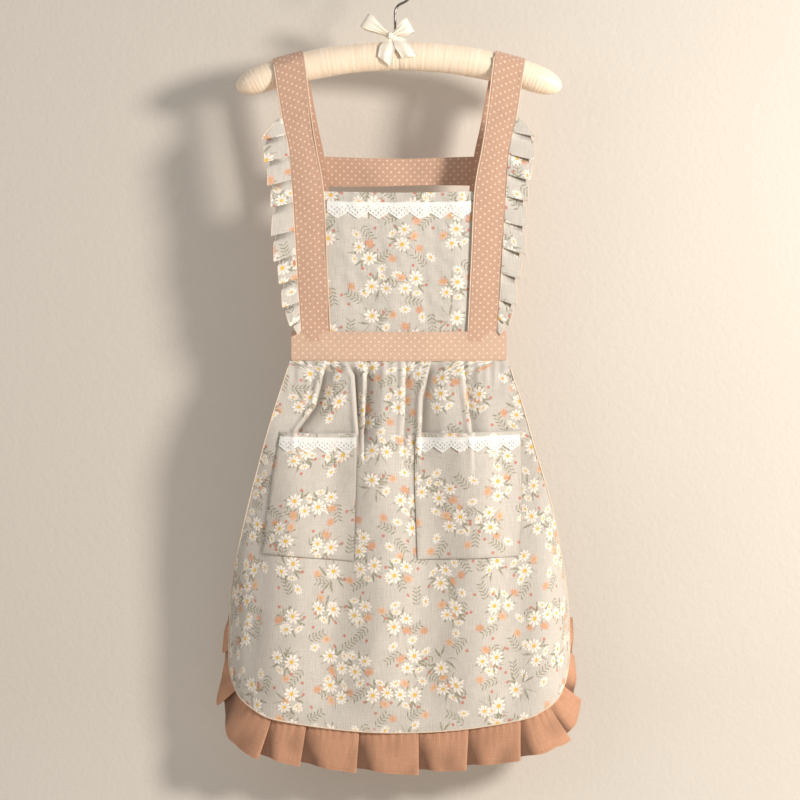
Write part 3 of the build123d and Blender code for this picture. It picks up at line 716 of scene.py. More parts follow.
def arch(reach):
    """The hanger's centre line at a distance along its arm: its points and the direction up from it."""
    angle = reach / ARCH_RADIUS
    x = ARCH_RADIUS * np.sin(angle)
    z = ARCH_TOP - ARCH_RADIUS * (1 - np.cos(angle))
    up = np.stack([np.sin(angle), np.zeros_like(angle), np.cos(angle)], -1)
    return np.stack([x + MIDDLE, np.zeros_like(x), z], -1), up


def arch_height(x):
    """The centre line's height above a place across the hanger."""
    return ARCH_TOP - ARCH_RADIUS + np.sqrt(ARCH_RADIUS**2 - (x - MIDDLE) ** 2)


def sleeve(name, side, radius, lumps, finish, rings=330, around=72):
    """A stuffed sleeve round one arm, rounded off at its end and drawn in at the middle."""
    end = ARCH_RADIUS * math.asin((ARM_END - PAD_RADIUS) / ARCH_RADIUS) + PAD_RADIUS
    part = np.linspace(0, 1, rings)
    reach = 0.2 + (end - 0.4) * (1 - (1 - part) ** 1.35)
    taper = 44.0
    near_end = np.clip((reach - (end - taper)) / taper, 0, 1)
    size = radius * np.sqrt(np.maximum(1 - near_end**2.3, 0.0004)) - 1.0 * np.exp(-reach / 2.5)
    turn = np.linspace(0, 2 * math.pi, around, endpoint=False) - math.pi / 2
    centre, up = arch(side * reach)
    along, around_it = np.meshgrid(reach, turn * radius, indexing="ij")
    # lumps gives the bumps and the painted shade in their hollows.
    grown, painted_shade = lumps(along, around_it, end)
    girth = np.maximum(size[:, None] + grown * np.minimum(size / radius, 1)[:, None], 0.2)
    front = np.array([0.0, -1.0, 0.0])
    circles = centre[:, None] + girth[..., None] * (
        np.sin(turn)[None, :, None] * up[:, None] + np.cos(turn)[None, :, None] * front
    )
    return skin(name, circles, finish, np.stack([along, around_it], -1), painted_shade)


def gathers(choice):
    """Fine gathers round the sleeve, deeper near its end and its middle, with painted shade between them."""
    pitch, depth = choice.gather / MM, choice.gather_depth / MM

    def lumps(along, around, end):
        lean = 1.6 * np.sin(around / 17 + along / 60) + 1.4 * uneven(along, around, 45, 3)
        ridge = np.abs(np.sin(math.pi * (along + lean) / pitch)) ** 0.7
        fade = 0.25 + 1.5 * smoothstep(end - 62, end - 14, along) + 1.1 * np.exp(-along / 14)
        patch = 0.6 + 0.4 * uneven(along, around, 30, 8)
        seam = np.exp(-(((around + PAD_RADIUS * math.pi / 2) / 3.0) ** 2))
        grown = depth * fade * patch * (ridge - 1) + 0.35 * uneven(along, around, 55, 5) - 0.35 - 0.5 * seam
        # The second value is painted shade, darkest in the hollows between the gathers.
        return np.minimum(grown, 0.1), (1 - ridge) * np.clip(fade * patch, 0, 1)

    return lumps


def make_hanger(choice):
    """The hook's and the core's finishes, the wadding and the gathered sleeves."""
    make_satin("Sleeve satin", choice.satin, 0.3, choice.gather)
    make_wadding()
    make_wood(choice.wood)
    make_metal("Hook steel", srgb(150, 144, 138), 0.28)
    make_metal("Bush brass", srgb(205, 170, 96), 0.3)
    for node, finish in {"hook_wire": "Hook steel", "hook_washer": "Hook steel", "hook_bush": "Bush brass",
                         "hanger_core": "Core wood"}.items():
        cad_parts[node].material_slots[0].material = bpy.data.materials[finish]
    for label, side in SIDES.items():
        soft = lambda x, y, end: (0.4 * uneven(x, y, 14, 4) - 0.3, np.zeros_like(x))
        puffy = sleeve(f"wadding_{label}", side, PAD_RADIUS - 1.6, soft, "Wadding", 90, 32)
        place_piece(puffy, "hanger", [f"padding_{label}"])
        cover = sleeve(f"satin_sleeve_{label}", side, PAD_RADIUS, gathers(choice), "Sleeve satin")
        place_piece(cover, "hanger", [f"cover_{label}"])


def ribbon_loop(knot, tip, width, near, far, bulge):
    """A ribbon loop: out from the knot in front, round its end and back behind."""
    knot, tip = np.array(knot, float), np.array(tip, float)
    axis = (tip - knot) / np.linalg.norm(tip - knot)
    across = np.array([-axis[1], axis[0]])
    t = np.linspace(0, 1, 70)
    reach = np.sin(math.pi * t) ** 0.75 * np.linalg.norm(tip - knot)
    depth = (near + far) / 2 + (near - far) / 2 * np.cos(math.pi * t) - bulge * np.sin(2 * math.pi * t)
    spread = smoothstep(0, 0.8, np.sin(math.pi * t)) * (width / 2 - 2.6) + 2.6
    c = np.linspace(-1, 1, 25)
    pleat = 1.1 * np.cos(c * 7.5)[None, :] * (1 - smoothstep(0.1, 0.9, np.sin(math.pi * t)))[:, None]
    flat = knot + reach[:, None, None] * axis + (c[None, :] * spread[:, None])[..., None] * across
    points = np.stack([flat[..., 0], depth[:, None] + pleat, flat[..., 1]], -1)
    cloth = np.stack(np.broadcast_arrays(c[None, :] * width / 2, t[:, None] * 80), -1)
    # The third value is painted shade on the pleats near the knot.
    return points, cloth, np.abs(pleat) / 1.6


def make_bow(choice):
    """The sewn satin bow: two loops, two tails and the knot round them."""
    make_satin("Bow ribbon", choice.ribbon, 0.3, 0.004)
    width = choice.ribbon_width / MM
    low, high = corners("bow_knot")
    knot = ((low + high) / 2)[[0, 2]]
    tips = {"left": knot + [-32.5, 20.5], "right": knot + [25.5, 14]}
    for label, tip in tips.items():
        points, cloth, painted_shade = ribbon_loop(knot, tip, width, -10.5, -4.2, 3.0)
        loop = cloth_sheet(f"ribbon_loop_{label}", points, 0.45, ["Bow ribbon"], cloth, painted_shade)
        place_piece(loop, "hanger", ["bow_loops"])
        length = running_length(points, 0)[:, 12].max()
    tails = {"left": [(0, -1), (-2.5, -12), (-5, -24), (-6, -34)],
             "right": [(1, 0), (10, -7), (18, -17), (25, -28)]}
    for label, route in tails.items():
        line = smooth_line([knot + step for step in route], 60)
        way = np.gradient(line, axis=0)
        way /= np.linalg.norm(way, axis=1, keepdims=True)
        side = np.column_stack([-way[:, 1], way[:, 0]])
        t = np.linspace(0, 1, 60)
        half = 2.4 + (width / 2 - 2.4) * smoothstep(0, 0.5, t)
        c = np.linspace(-1, 1, 21)
        slant = (t**6)[:, None] * (5.5 * c[None, :] if label == "left" else 4.5 * c[None, :])
        flat = line[:, None] + (c[None, :] * half[:, None])[..., None] * side[:, None]
        flat = flat + slant[..., None] * way[:, None]
        above = flat[..., 1] - arch_height(flat[..., 0])
        pad = np.sqrt(np.maximum((PAD_RADIUS + 1.2) ** 2 - above**2, 90))
        ripple = 0.9 * np.cos(c * 4.2 + 0.5)[None, :] * (0.3 + t)[:, None]
        layer = 1.6 if label == "left" else 2.6
        points = np.stack([flat[..., 0], -pad - layer - ripple, flat[..., 1]], -1)
        cloth = np.stack(np.broadcast_arrays(c[None, :] * width / 2, t[:, None] * 40), -1)
        # The tail's ripples get painted shade, darker the deeper they are.
        tail = cloth_sheet(f"ribbon_tail_{label}", points[:, ::-1], 0.45, ["Bow ribbon"], cloth,
                           0.4 * np.abs(ripple))
        place_piece(tail, "hanger", ["bow_tails"])
    t = np.linspace(0, 1, 26)
    turn = np.linspace(0, 2 * math.pi, 40, endpoint=False)
    size = np.sqrt(np.maximum(1 - (2 * t - 1) ** 4, 0.01))
    wrap = 1 + 0.06 * np.cos(turn * 6)[None, :] * size[:, None]
    x = knot[0] + 3.9 * size[:, None] * np.cos(turn)[None, :] * wrap
    y = -9.0 - 5.4 * size[:, None] * np.sin(turn)[None, :] * wrap
    z = knot[1] + np.broadcast_to((0.5 - t)[:, None] * 9.5, x.shape)
    cloth = np.stack(np.broadcast_arrays(turn[None, :] * 5, t[:, None] * 10), -1)
    piece = skin("ribbon_knot", np.stack([x, y, z], -1), "Bow ribbon", cloth)
    place_piece(piece, "hanger", ["bow_knot"])


# ---------------------------------------------------------------- straps and bands

FRONT_EDGES = {
    "outer": [(121.5, -470), (127.5, -375), (133, -283), (137, -233), (146, -189)],
    "inner": [(85.5, -470), (90, -375), (94.5, -283), (103, -233), (108.5, -199)],
}
REAR_EDGES = {
    "outer": [(141, -189), (132, -233), (125, -283), (119, -375), (114, -470)],
    "inner": [(103.5, -193), (95, -233), (88.5, -283), (83, -375), (78, -470)],
}
# How far each edge is from the middle where it reaches the pad, on top of it and where it leaves it.
RIDGE = {"outer": (154.5, 158.0, 153.0), "inner": (117.5, 121.0, 116.0)}
STRAP_RADIUS = 19.6
STRAP_WIDTH = 37
REAR_BEND = -275  # the rear leg hangs straight down to here
REAR_LEAN = 33.7 / 195  # and then runs forward to the waistband


def front_edge(edge, z):
    """How far a front strap's edge is from the middle at a height."""
    line = smooth_line(FRONT_EDGES[edge], 120)
    return np.interp(z, line[:, 1], line[:, 0])


def strap_edge(edge, side):
    """One edge of a strap: up the front, over the pad and down the back."""
    points = [(x, STRAP_FRONT, z) for x, z in FRONT_EDGES[edge]]
    for degrees in range(5, 180, 17):
        part = degrees / 180
        start, top, end = RIDGE[edge]
        x = start + (top - start) * math.sin(math.pi * min(part, 0.5))
        x = x if part < 0.5 else end + (top - end) * math.sin(math.pi * part)
        angle = math.radians(degrees)
        z = arch_height(MIDDLE + x) + STRAP_RADIUS * 1.03 * math.sin(angle)
        points.append((x, -STRAP_RADIUS * math.cos(angle), z))
    for x, z in REAR_EDGES[edge]:
        points.append((x, STRAP_RADIUS - REAR_LEAN * max(REAR_BEND - z, 0), z))
    line = smooth_line(points, 300) * [side, 1, 1]
    return line + [MIDDLE, 0, 0]


def make_straps(choice):
    """Both straps with the light cord and the stitches along their front edges."""
    for label, side in SIDES.items():
        inner, outer = strap_edge("inner", side), strap_edge("outer", side)
        left, right = (outer, inner) if side < 0 else (inner, outer)
        c = np.linspace(0, 1, 17)[None, :, None]
        points = left[:, None] * (1 - c) + right[:, None] * c
        height = points[..., 2]
        front = smoothstep(-10, -19, points[..., 1]) * smoothstep(-165, -185, height)
        soft = uneven(height, points[..., 0], 70, 11 + side)
        points[..., 1] -= front * (0.5 * soft + 0.6 * np.sin(math.pi * c[..., 0]) - 0.2)
        cloth = np.stack(np.broadcast_arrays((c[..., 0] - 0.5) * STRAP_WIDTH, -running_length(points, 0)), -1)
        strap = cloth_sheet(f"dotted_strap_{label}", points[:, ::-1], 1.3, ["Dotted cotton"], cloth)
        place_piece(strap, "apron", [f"strap_{label}"])
        length = running_length(points, 0)[-1].mean()
        edges, seams = [], []
        for edge, line in (("inner", inner), ("outer", outer)):
            part = line[(line[:, 1] < -17) & (line[:, 2] > -458)]
            way = side * (1 if edge == "outer" else -1)
            edges.append(part + [0.35 * way, -0.25, 0])
            seams += stitch_paths(part + [-2.6 * way, -1.1, 0], choice.stitch / MM, (0, -1, 0))
        cord = cords(f"strap_cord_{label}", edges, 0.75, "Piping cord")
        place_piece(cord, "apron", [f"strap_piping_{label}"])
        thread = cords(f"strap_stitches_{label}", seams, 0.22, "Stitch thread", True)
        place_piece(thread, "apron", [])


def band_grid(left, right, top, bottom, depth, rows=14, columns=120, wave=0.5, seed=1):
    """A level band as a grid, with its top and bottom given as functions of the distance across."""
    x = np.linspace(left, right, columns)
    t = np.linspace(0, 1, rows)[:, None]
    z = top(x)[None, :] * (1 - t) + bottom(x)[None, :] * t
    x = np.broadcast_to(x, z.shape)
    y = depth - wave * uneven(x, z, 60, seed)
    return np.stack([x + MIDDLE, y, z], -1)


def make_back_band(choice):
    """The cross band that joins the straps behind the neck opening."""
    low, high = corners("back_band")
    half = (high[0] - low[0]) / 2
    top = lambda x: high[2] - 1.4 * np.cos(x / 40)
    bottom = lambda x: low[2] + 1.5 + np.sin(x / 33)
    points = band_grid(-half, half, top, bottom, between("back_band", 1), wave=0.9, seed=5)
    points[..., 1] += 1.2 * np.sin(np.linspace(0, math.pi, 14))[:, None] * np.sin(points[..., 0] / 14)
    band = cloth_sheet("dotted_back_band", points, 1.2, ["Dotted cotton"])
    place_piece(band, "apron", ["back_band"])
    seams = stitch_paths(points[1, 4:-4] + [0, -0.9, 0], choice.stitch / MM, (0, -1, 0))
    seams += stitch_paths(points[-2, 4:-4] + [0, -0.9, 0], choice.stitch / MM, (0, -1, 0))
    thread = cords("back_band_stitches", seams, 0.2, "Stitch thread", True)
    place_piece(thread, "apron", [])


def make_waistband(choice):
    """The waistband with its two rows of stitches, and the facing behind it."""
    low, high = BAND_LOW, BAND_HIGH
    half = (high[0] - low[0]) / 2
    sag = lambda x: -1.2 * np.cos(x / half * math.pi / 2)
    points = band_grid(-half, half, lambda x: high[2] + sag(x) + 1.0, lambda x: low[2] + sag(x) + 1.0,
                       between("waistband_front", 1), 16, 160, 0.35, 7)
    edge = np.abs(np.linspace(-1, 1, 16))[:, None]
    points[..., 1] += 0.5 * smoothstep(0.75, 1, edge)
    band = cloth_sheet("dotted_waistband", points, 1.2, ["Waistband cotton"])
    place_piece(band, "apron", ["waistband_front"])
    seams = []
    for row, drop in ((0, -2.2), (-1, 2.2)):
        seams += stitch_paths(points[row, 2:-2] + [0, -1.3, drop], choice.stitch / MM, (0, -1, 0))
    thread = cords("waistband_stitches", seams, 0.26, "Stitch thread", True)
    place_piece(thread, "apron", [])
    points = points + [0, between("waistband_facing", 1) - between("waistband_front", 1), 0]
    facing = cloth_sheet("waistband_lining", points, 0.8, ["Dotted cotton"])
    place_piece(facing, "apron", ["waistband_facing"])


# ---------------------------------------------------------------- pleated strips


def pleats(breaks, tuck, rise, drop, rows, samples=(6, 8, 12, 7)):
    """Knife pleats between the breaks, as grids of distance along the seam, share of the width and lift.

    tuck and rise are pairs, at the seam and at the free edge. Each panel starts under the one before
    it, rises to its folded edge and turns back under itself."""
    t = np.linspace(0, 1, rows)[:, None]
    over = tuck[0] + (tuck[1] - tuck[0]) * t
    high = rise[0] + (rise[1] - rise[0]) * t**0.8
    chance = np.random.default_rng(len(breaks))
    along, lift, sink = [], [], []
    for start, end in zip(breaks, breaks[1:]):
        vary = chance.uniform(0.75, 1.25)
        size = (end - start) * 0.42
        under, fold = np.minimum(over, size), np.minimum(over * vary, size)
        a = (start - under, -high + 0 * under, -drop * t)
        hollow = (start + under + 0.15 * (end - start) * t, -0.9 * high, -0.8 * drop * t)
        b = (start + 0.45 * (end - start) + 0 * under, 0.35 * high * vary, 0.2 * drop * t)
        c = (end + fold, high * vary, drop * t * vary)
        d = (end - under, -high + 0 * under, -drop * t)
        for (p, q), count in zip(((a, hollow), (hollow, b), (b, c), (c, d)), samples):
            f = np.linspace(0, 1, count, endpoint=False)[None, :]
            for store, first, second in zip((along, lift, sink), p, q):
                store.append(first * (1 - f) + second * f)
    grids = [np.concatenate(store, axis=1) for store in (along, lift, sink)]
    weights = np.array([1, 2, 3, 2, 1]) / 9
    smooth = []
    for grid in grids:
        padded = np.pad(grid, ((0, 0), (2, 2)), "edge")
        smooth.append(sum(w * padded[:, k:k + grid.shape[1]] for k, w in enumerate(weights)))
    return smooth[0], np.broadcast_to(t, smooth[0].shape), smooth[1], smooth[2]


def pleat_cloth(along, lift, width):
    """Place on the flat cloth of a pleated strip."""
    step = np.hypot(np.diff(along, axis=1), np.diff(lift, axis=1))
    run = np.concatenate([np.zeros((len(along), 1)), np.cumsum(step, axis=1)], axis=1)
    return np.stack([run[-1][None, :] + 0 * along, width], -1)


SIDE_RUFFLE_EDGE = [(146.5, -187), (157, -199), (168, -215), (165.5, -238), (161, -267), (157.5, -296),
                    (156.5, -333), (152.5, -362), (147, -393), (143, -421), (135, -441), (124, -457)]


def make_side_ruffles():
    """The ruffles along the straps' outer edges, pleated level across."""
    breaks = {"left": [186, 212, 238, 267, 296, 331, 360, 391, 420, 440, 457],
              "right": [186, 208, 235, 260, 288, 320, 351, 384, 417, 439, 457]}
    outline = smooth_line(SIDE_RUFFLE_EDGE, 200)
    for label, side in SIDES.items():
        along, part, lift, sink = pleats(breaks[label], (2.5, 6.5), (0.6, 3.6), 3.0, 22)
        z = -np.clip(along, breaks[label][0], breaks[label][-1])
        inner = front_edge("outer", z) + 0.3
        outer = np.interp(-z, -outline[:, 1], outline[:, 0])
        reach = np.maximum(outer - inner + sink * 1.1, 0.6)
        x = inner + reach * part
        droop = -3.0 * part * smoothstep(186, 230, -z)
        forward = 1.4 - 2.0 * side
        y = STRAP_FRONT - 0.6 - forward * part - lift - 0.5 * part * uneven(z, x, 25, 3 + side)
        points = np.stack([MIDDLE + side * x, y, z + droop - sink * 0.6], -1)
        cloth = pleat_cloth(along, lift, -reach * part)
        cloth = np.stack([cloth[..., 1] * side + 220 * side, -cloth[..., 0]], -1)
        points, cloth = points.transpose(1, 0, 2), cloth.transpose(1, 0, 2)
        # Painted shade where each pleat lies back under the one before it.
        painted_shade = (np.clip(-lift / 3.6, 0, 1) * smoothstep(0.05, 0.5, part) * 0.9).T
        if side < 0:
            points, cloth, painted_shade = points[:, ::-1], cloth[:, ::-1], painted_shade[:, ::-1]
        ruffle = cloth_sheet(f"side_ruffle_{label}", points, 0.7, LINEN_SIDES, cloth, painted_shade)
        place_piece(ruffle, "apron", [f"shoulder_ruffle_{label}"])
        edge = points[:, 0 if side < 0 else -1]
        rolled = cords(f"side_ruffle_edge_{label}", [edge], 0.55, "Piping cord")
        place_piece(rolled, "apron", [])
        length = running_length(points, 0).max()


# ---------------------------------------------------------------- bib and lace


def bib_point(x, z):
    """The bib's surface at a place: slight pulls from the lace seam and the lower corners."""
    inside = smoothstep(92, 70, np.abs(x)) * smoothstep(BAND_HIGH[2] + 2, BAND_HIGH[2] + 30, z)
    soft = 1.3 * uneven(x, z * 0.45, 48, 21) + 0.5 * uneven(x, z, 22, 33)
    pull = 0.8 * np.sin(x / 9) * smoothstep(-330, -296, z)
    return between("bib_panel", 1) - inside * (1.4 + soft + 0.35 * pull)


def bib_top(x):
    """The bib's top edge, a little slack at the middle."""
    return BIB_HIGH[2] - 1.6 * np.cos(x / 94 * math.pi / 2)


def make_bib():
    """The printed bib with its turned top hem, and the facing behind the hem."""
    half = (BIB_HIGH[0] - BIB_LOW[0]) / 2
    columns, rows = 120, 110
    x = np.linspace(-half, half, columns)[None, :]
    t = np.linspace(0, 1, rows)[:, None]
    z = bib_top(x) * (1 - t) + BIB_LOW[2] * t
    x = np.broadcast_to(x, z.shape)
    points = np.stack([x + MIDDLE, bib_point(x, z), z], -1)
    bib = cloth_sheet("printed_bib", points, 0.8, LINEN_SIDES)
    place_piece(bib, "apron", ["bib_panel"])
    row = int(9 / (BIB_HIGH[2] - BIB_LOW[2]) * rows)
    seams = stitch_paths(points[row, 12:-12] + [0, -0.5, 0], 3.0, (0, -1, 0))
    thread = cords("bib_stitches", seams, 0.18, "Stitch thread", True)
    place_piece(thread, "apron", [])
    low, high = corners("bib_facing")
    z = bib_top(x) * (1 - t) + low[2] * t
    points = np.stack([x + MIDDLE, np.maximum(bib_point(x, z), between("bib_panel", 1) - 1) + 1.3, z], -1)
    facing = cloth_sheet("bib_lining", points[::4, ::2], 0.8, ["Linen wrong side"])
    place_piece(facing, "apron", ["bib_facing"])


def ring(x, y, width, height, angle=0.0, sides=8):
    """A small hole as a ring of points."""
    turn = np.linspace(0, 2 * math.pi, sides, endpoint=False) + math.pi / sides
    px, py = width / 2 * np.cos(turn), height / 2 * np.sin(turn)
    return np.column_stack([x + px * math.cos(angle) - py * math.sin(angle),
                            y + px * math.sin(angle) + py * math.cos(angle)])


def lace_rings(count, pitch, drop):
    """The outline and the holes of a lace edging, as rings of points; down is negative."""
    valley = drop * 0.58
    x = np.linspace(0, count * pitch, count * 24 + 1)
    phase = (x / pitch) % 1
    point = (1 - np.abs(2 * phase - 1)) ** 0.9
    scallop = valley + (drop - valley) * point + 0.35 * np.abs(np.sin(phase * math.pi * 6))
    lower = np.column_stack([x, -scallop])[::-1]
    top = np.column_stack([x[::3], 0.25 * np.sin(x[::3] * 2.1)])
    rings = [np.vstack([top, lower])]
    slope = math.atan2(drop - valley, pitch / 2)
    for unit in range(count):
        start = unit * pitch
        for k in range(3):
            share = 0.2 + 0.28 * k
            depth = valley + (drop - valley) * share - 3.0
            rings.append(ring(start + share * pitch / 2, -depth, 2.5, 1.1, -slope))
            rings.append(ring(start + pitch - share * pitch / 2, -depth, 2.5, 1.1, slope))
        for dx, depth, w, h in ((0.5, 13.2, 1.5, 3.0), (0.38, 9.8, 1.6, 2.6), (0.62, 9.8, 1.6, 2.6),
                                (0.5, 7.4, 1.9, 1.7), (0.24, 6.6, 1.5, 2.0), (0.76, 6.6, 1.5, 2.0)):
            rings.append(ring(start + dx * pitch, -depth, w, h))
        if unit:
            rings.append(ring(start, -5.4, 2.4, 1.7))
            rings += [ring(start + side * 2.1, -8.3, 1.9, 1.6) for side in (-1, 1)]
    return rings


def plate(name, rings, thick, finish, place):
    """A pierced plate: the first ring is its outline and the others are holes. place bends it."""
    flat = np.vstack(rings)
    owner = np.concatenate([np.full(len(points), k) for k, points in enumerate(rings)])
    start = np.concatenate([[0], np.cumsum([len(points) for points in rings])])
    edges = []
    for first, end in zip(start.tolist(), start[1:].tolist()):
        edges += [(a, a + 1 if a + 1 < end else first) for a in range(first, end)]
    found = delaunay_2d_cdt([Vector(spot) for spot in flat.tolist()], edges, [], 1, 1e-4)
    spots, triangles, origins = np.array(found[0]), found[2], found[3]
    whose = np.array([owner[source[0]] if source else -1 for source in origins])
    hole = lambda t: whose[t[0]] == whose[t[1]] == whose[t[2]] > 0
    kept = [t for t in triangles if not hole(t)]
    count = len(spots)
    uses = {}
    for t in kept:
        for a, b in zip(t, (*t[1:], t[0])):
            uses[(a, b)] = True
    walls = [(b, a, a + count, b + count) for a, b in uses if (b, a) not in uses]
    faces = kept + [tuple(v + count for v in t[::-1]) for t in kept] + walls
    both = [place(spots[:, 0], spots[:, 1], np.full(count, lift)) for lift in (thick / 2, -thick / 2)]
    return mesh_piece(name, np.vstack(both), faces, [finish], {})


def lace_edging(name, left, width, count, drop, place):
    """Pierced cotton lace laid on a surface; place gives a point from distances across and down."""
    laid = lambda x, down, lift: place(left + x, down, lift)
    piece = plate(name, lace_rings(count, width / count, drop), 0.9, "Lace thread", laid)
    rails = []
    for depth in (0.5, 2.6):
        across = np.linspace(0, width, int(width / 1.5))
        rails.append(laid(across, np.full_like(across, -depth), np.full_like(across, 0.3)))
    x = np.linspace(0, width, count * 24 + 1)
    phase = (x / (width / count)) % 1
    edge = drop * (0.58 + 0.42 * (1 - np.abs(2 * phase - 1)) ** 0.9)
    for inset in (0.5, 4.4):
        rails.append(laid(x, -edge + inset, np.full_like(x, 0.25)))
    return piece, cords(name + "_rails", rails, 0.45, "Lace thread")


def make_bib_lace(choice):
    """The lace across the bib below its top hem."""
    drop = choice.drop / MM
    low, high = corners("bib_lace")
    half = (high[0] - low[0]) / 2

    def place(x, down, lift):
        z = high[2] + down - 1.6 * np.cos(x / 94 * math.pi / 2) + 0.8
        return np.stack([x + MIDDLE, bib_point(x, z) - 0.9 - lift, z], -1)

    lace, rails = lace_edging("bib_lace_edging", -half, 2 * half, 7, drop, place)
    place_piece(lace, "apron", ["bib_lace"])
    place_piece(rails, "apron", [])


# ---------------------------------------------------------------- skirt

SIDE_EDGE = [(134, -488), (142, -515), (152, -545), (169, -608), (187, -671), (200, -729), (212, -800),
             (214.5, -856)]
HEM_LINE = [(214.5, -856), (211, -888), (200, -914), (180, -930), (152, -941.5), (76, -953.5), (0, -957.6)]
# Fold lines below the waistband: places down the line, depth share, and how wide the hollow beside it is.
FOLDS = [
    ([(-91, -494), (-105, -551), (-127, -581)], 1.0, 26),
    ([(-68, -494), (-56, -512), (-51.5, -581)], 0.75, 12),
    ([(-40, -494), (-44.7, -585)], 1.0, 24),
    ([(7, -494), (6.2, -562), (4, -590)], 0.5, 20),
    ([(39, -494), (28.5, -540), (26.6, -584)], 1.0, 30),
    ([(79, -494), (84, -540), (92, -600)], 0.6, 24),
]


def unroll(x):
    """Distance along the skirt's width at a distance from the middle as seen from the front."""
    bend = np.arcsin(np.clip((x - FLAT_HALF) / CURL_RADIUS, 0, math.sin(CURL_ANGLE)))
    past = np.maximum(x - FLAT_HALF - CURL_RADIUS * math.sin(CURL_ANGLE), 0)
    return np.minimum(x, FLAT_HALF) + CURL_RADIUS * bend + past / math.cos(CURL_ANGLE)


def on_curl(along, z, lift):
    """A point on the flat front or the curled sides, lifted off the cloth's face."""
    side, run = np.sign(along), np.abs(along)
    bend = np.clip((run - FLAT_HALF) / CURL_RADIUS, 0, CURL_ANGLE)
    past = np.maximum(run - FLAT_HALF - CURL_RADIUS * CURL_ANGLE, 0)
    x = np.minimum(run, FLAT_HALF) + CURL_RADIUS * np.sin(bend) + past * math.cos(CURL_ANGLE)
    y = CURL_RADIUS * (1 - np.cos(bend)) + past * math.sin(CURL_ANGLE)
    x, y = x + lift * np.sin(bend), y - lift * np.cos(bend)
    return np.stack([MIDDLE + side * x, SKIRT_FRONT + y, z + 0 * x], -1)


def fold_lift(along, z, choice):
    """How far the skirt stands forward: folds below the waistband and soft waves lower down; also a mask of
    painted shade in the hollow beside each fold line.
    """
    depth, wave = choice.fold / MM, choice.wave / MM
    start = smoothstep(-490, -512, z)
    lift = depth * 0.8 * start * (1 - 0.75 * smoothstep(-560, -740, z))
    hollow = np.zeros_like(lift)
    for line, share, wide in FOLDS:
        places = np.array(line)[::-1]
        off = along - np.interp(z, places[:, 1], places[:, 0])
        fade = start * (1 - smoothstep(places[0, 1] + 14, places[0, 1] - 46, z))
        valley = smoothstep(-1.1, 1.1, off) * (1 - smoothstep(0, wide, off))
        rim = np.exp(-(((off + 3.5) / 3.5) ** 2))
        lift = lift + fade * share * depth * (0.28 * rim - valley)
        # Painted shade: darkest just beside each fold line, fading out over 17 mm.
        dark = smoothstep(17, 2, off) * smoothstep(0.2, 1.8, off)
        hollow = np.maximum(hollow, fade * share * valley * dark)
    low = smoothstep(-530, -620, z) * (1 - 0.9 * smoothstep(-900, -945, z))
    middle = smoothstep(215, 150, np.abs(along))
    sway = np.sin((along - 1 + 9 * np.sin(z / 95)) * 2 * math.pi / 115)
    lift = lift - wave * low * middle * sway + 0.7 * low * uneven(along, z * 0.4, 40, 9)
    tiny = smoothstep(-488, -494, z) * (1 - smoothstep(-500, -545, z))
    return lift + 0.45 * tiny * np.sin(along / 2.1 + 2 * np.sin(along / 17)), hollow


def make_skirt(choice):
    """The gathered skirt with its folds, and the light cord along its sides and hem."""
    side = smooth_line([(unroll(np.array(x)), z) for x, z in SIDE_EDGE], 200)
    half = lambda z: np.interp(-z, -side[:, 1], side[:, 0])
    hem = [(float(unroll(np.array(x))), z) for x, z in HEM_LINE]
    hem = smooth_line([(-x, z) for x, z in hem] + [(x, z) for x, z in hem[-2::-1]], choice.columns)
    t = np.linspace(0, 1, 190)[:, None]
    share = np.linspace(-1, 1, choice.columns)[None, :]
    z = BAND_LOW[2] + 5 + (hem[:, 1][None, :] - BAND_LOW[2] - 5) * t
    spread = share * (1 - t) + (hem[:, 0] / half(hem[:, 1]))[None, :] * t
    along = spread * half(z)
    lift, hollow = fold_lift(along, z, choice)
    # Painted shadow in a narrow line on the skirt beside each pocket's inner edge.
    for label, edge, way in (("left", "right", 1), ("right", "left", -1)):
        line = smooth_line(POCKETS[label][edge], 60)
        off = (along - np.interp(-z, -line[:, 1], line[:, 0])) * way
        beside = (z < line[0, 1] - 2) & (z > line[-1, 1] + 1)
        hollow = np.maximum(hollow, beside * np.exp(-np.maximum(off, 0) / 1.6) * smoothstep(-3, 0, off))
    points = on_curl(along, z, lift)
    skirt = cloth_sheet("gathered_skirt", points, 0.9, LINEN_SIDES, painted_shade=hollow)
    place_piece(skirt, "apron", ["skirt_panel"])
    edge = np.vstack([np.column_stack([-side[:, 0], side[:, 1]])[8:], hem[1:-1], side[:7:-1]])
    lift, _ = fold_lift(edge[:, 0], edge[:, 1], choice)
    cord = cords("skirt_cord", [on_curl(edge[:, 0], edge[:, 1], lift + 0.35)], 0.85, "Piping cord")
    place_piece(cord, "apron", ["skirt_piping"])
    inset = hem[8:-8] * [0.985, 1] + [0, 4.5]
    lift, _ = fold_lift(inset[:, 0], inset[:, 1], choice)
    seams = stitch_paths(on_curl(inset[:, 0], inset[:, 1], lift + 0.5), 3.2, (0, -1, 0))
    thread = cords("hem_stitches", seams, 0.18, "Stitch thread", True)
    place_piece(thread, "apron", [])


HEM_BREAKS = [-205, -161, -117, -51, 22, 85.5, 151, 186]


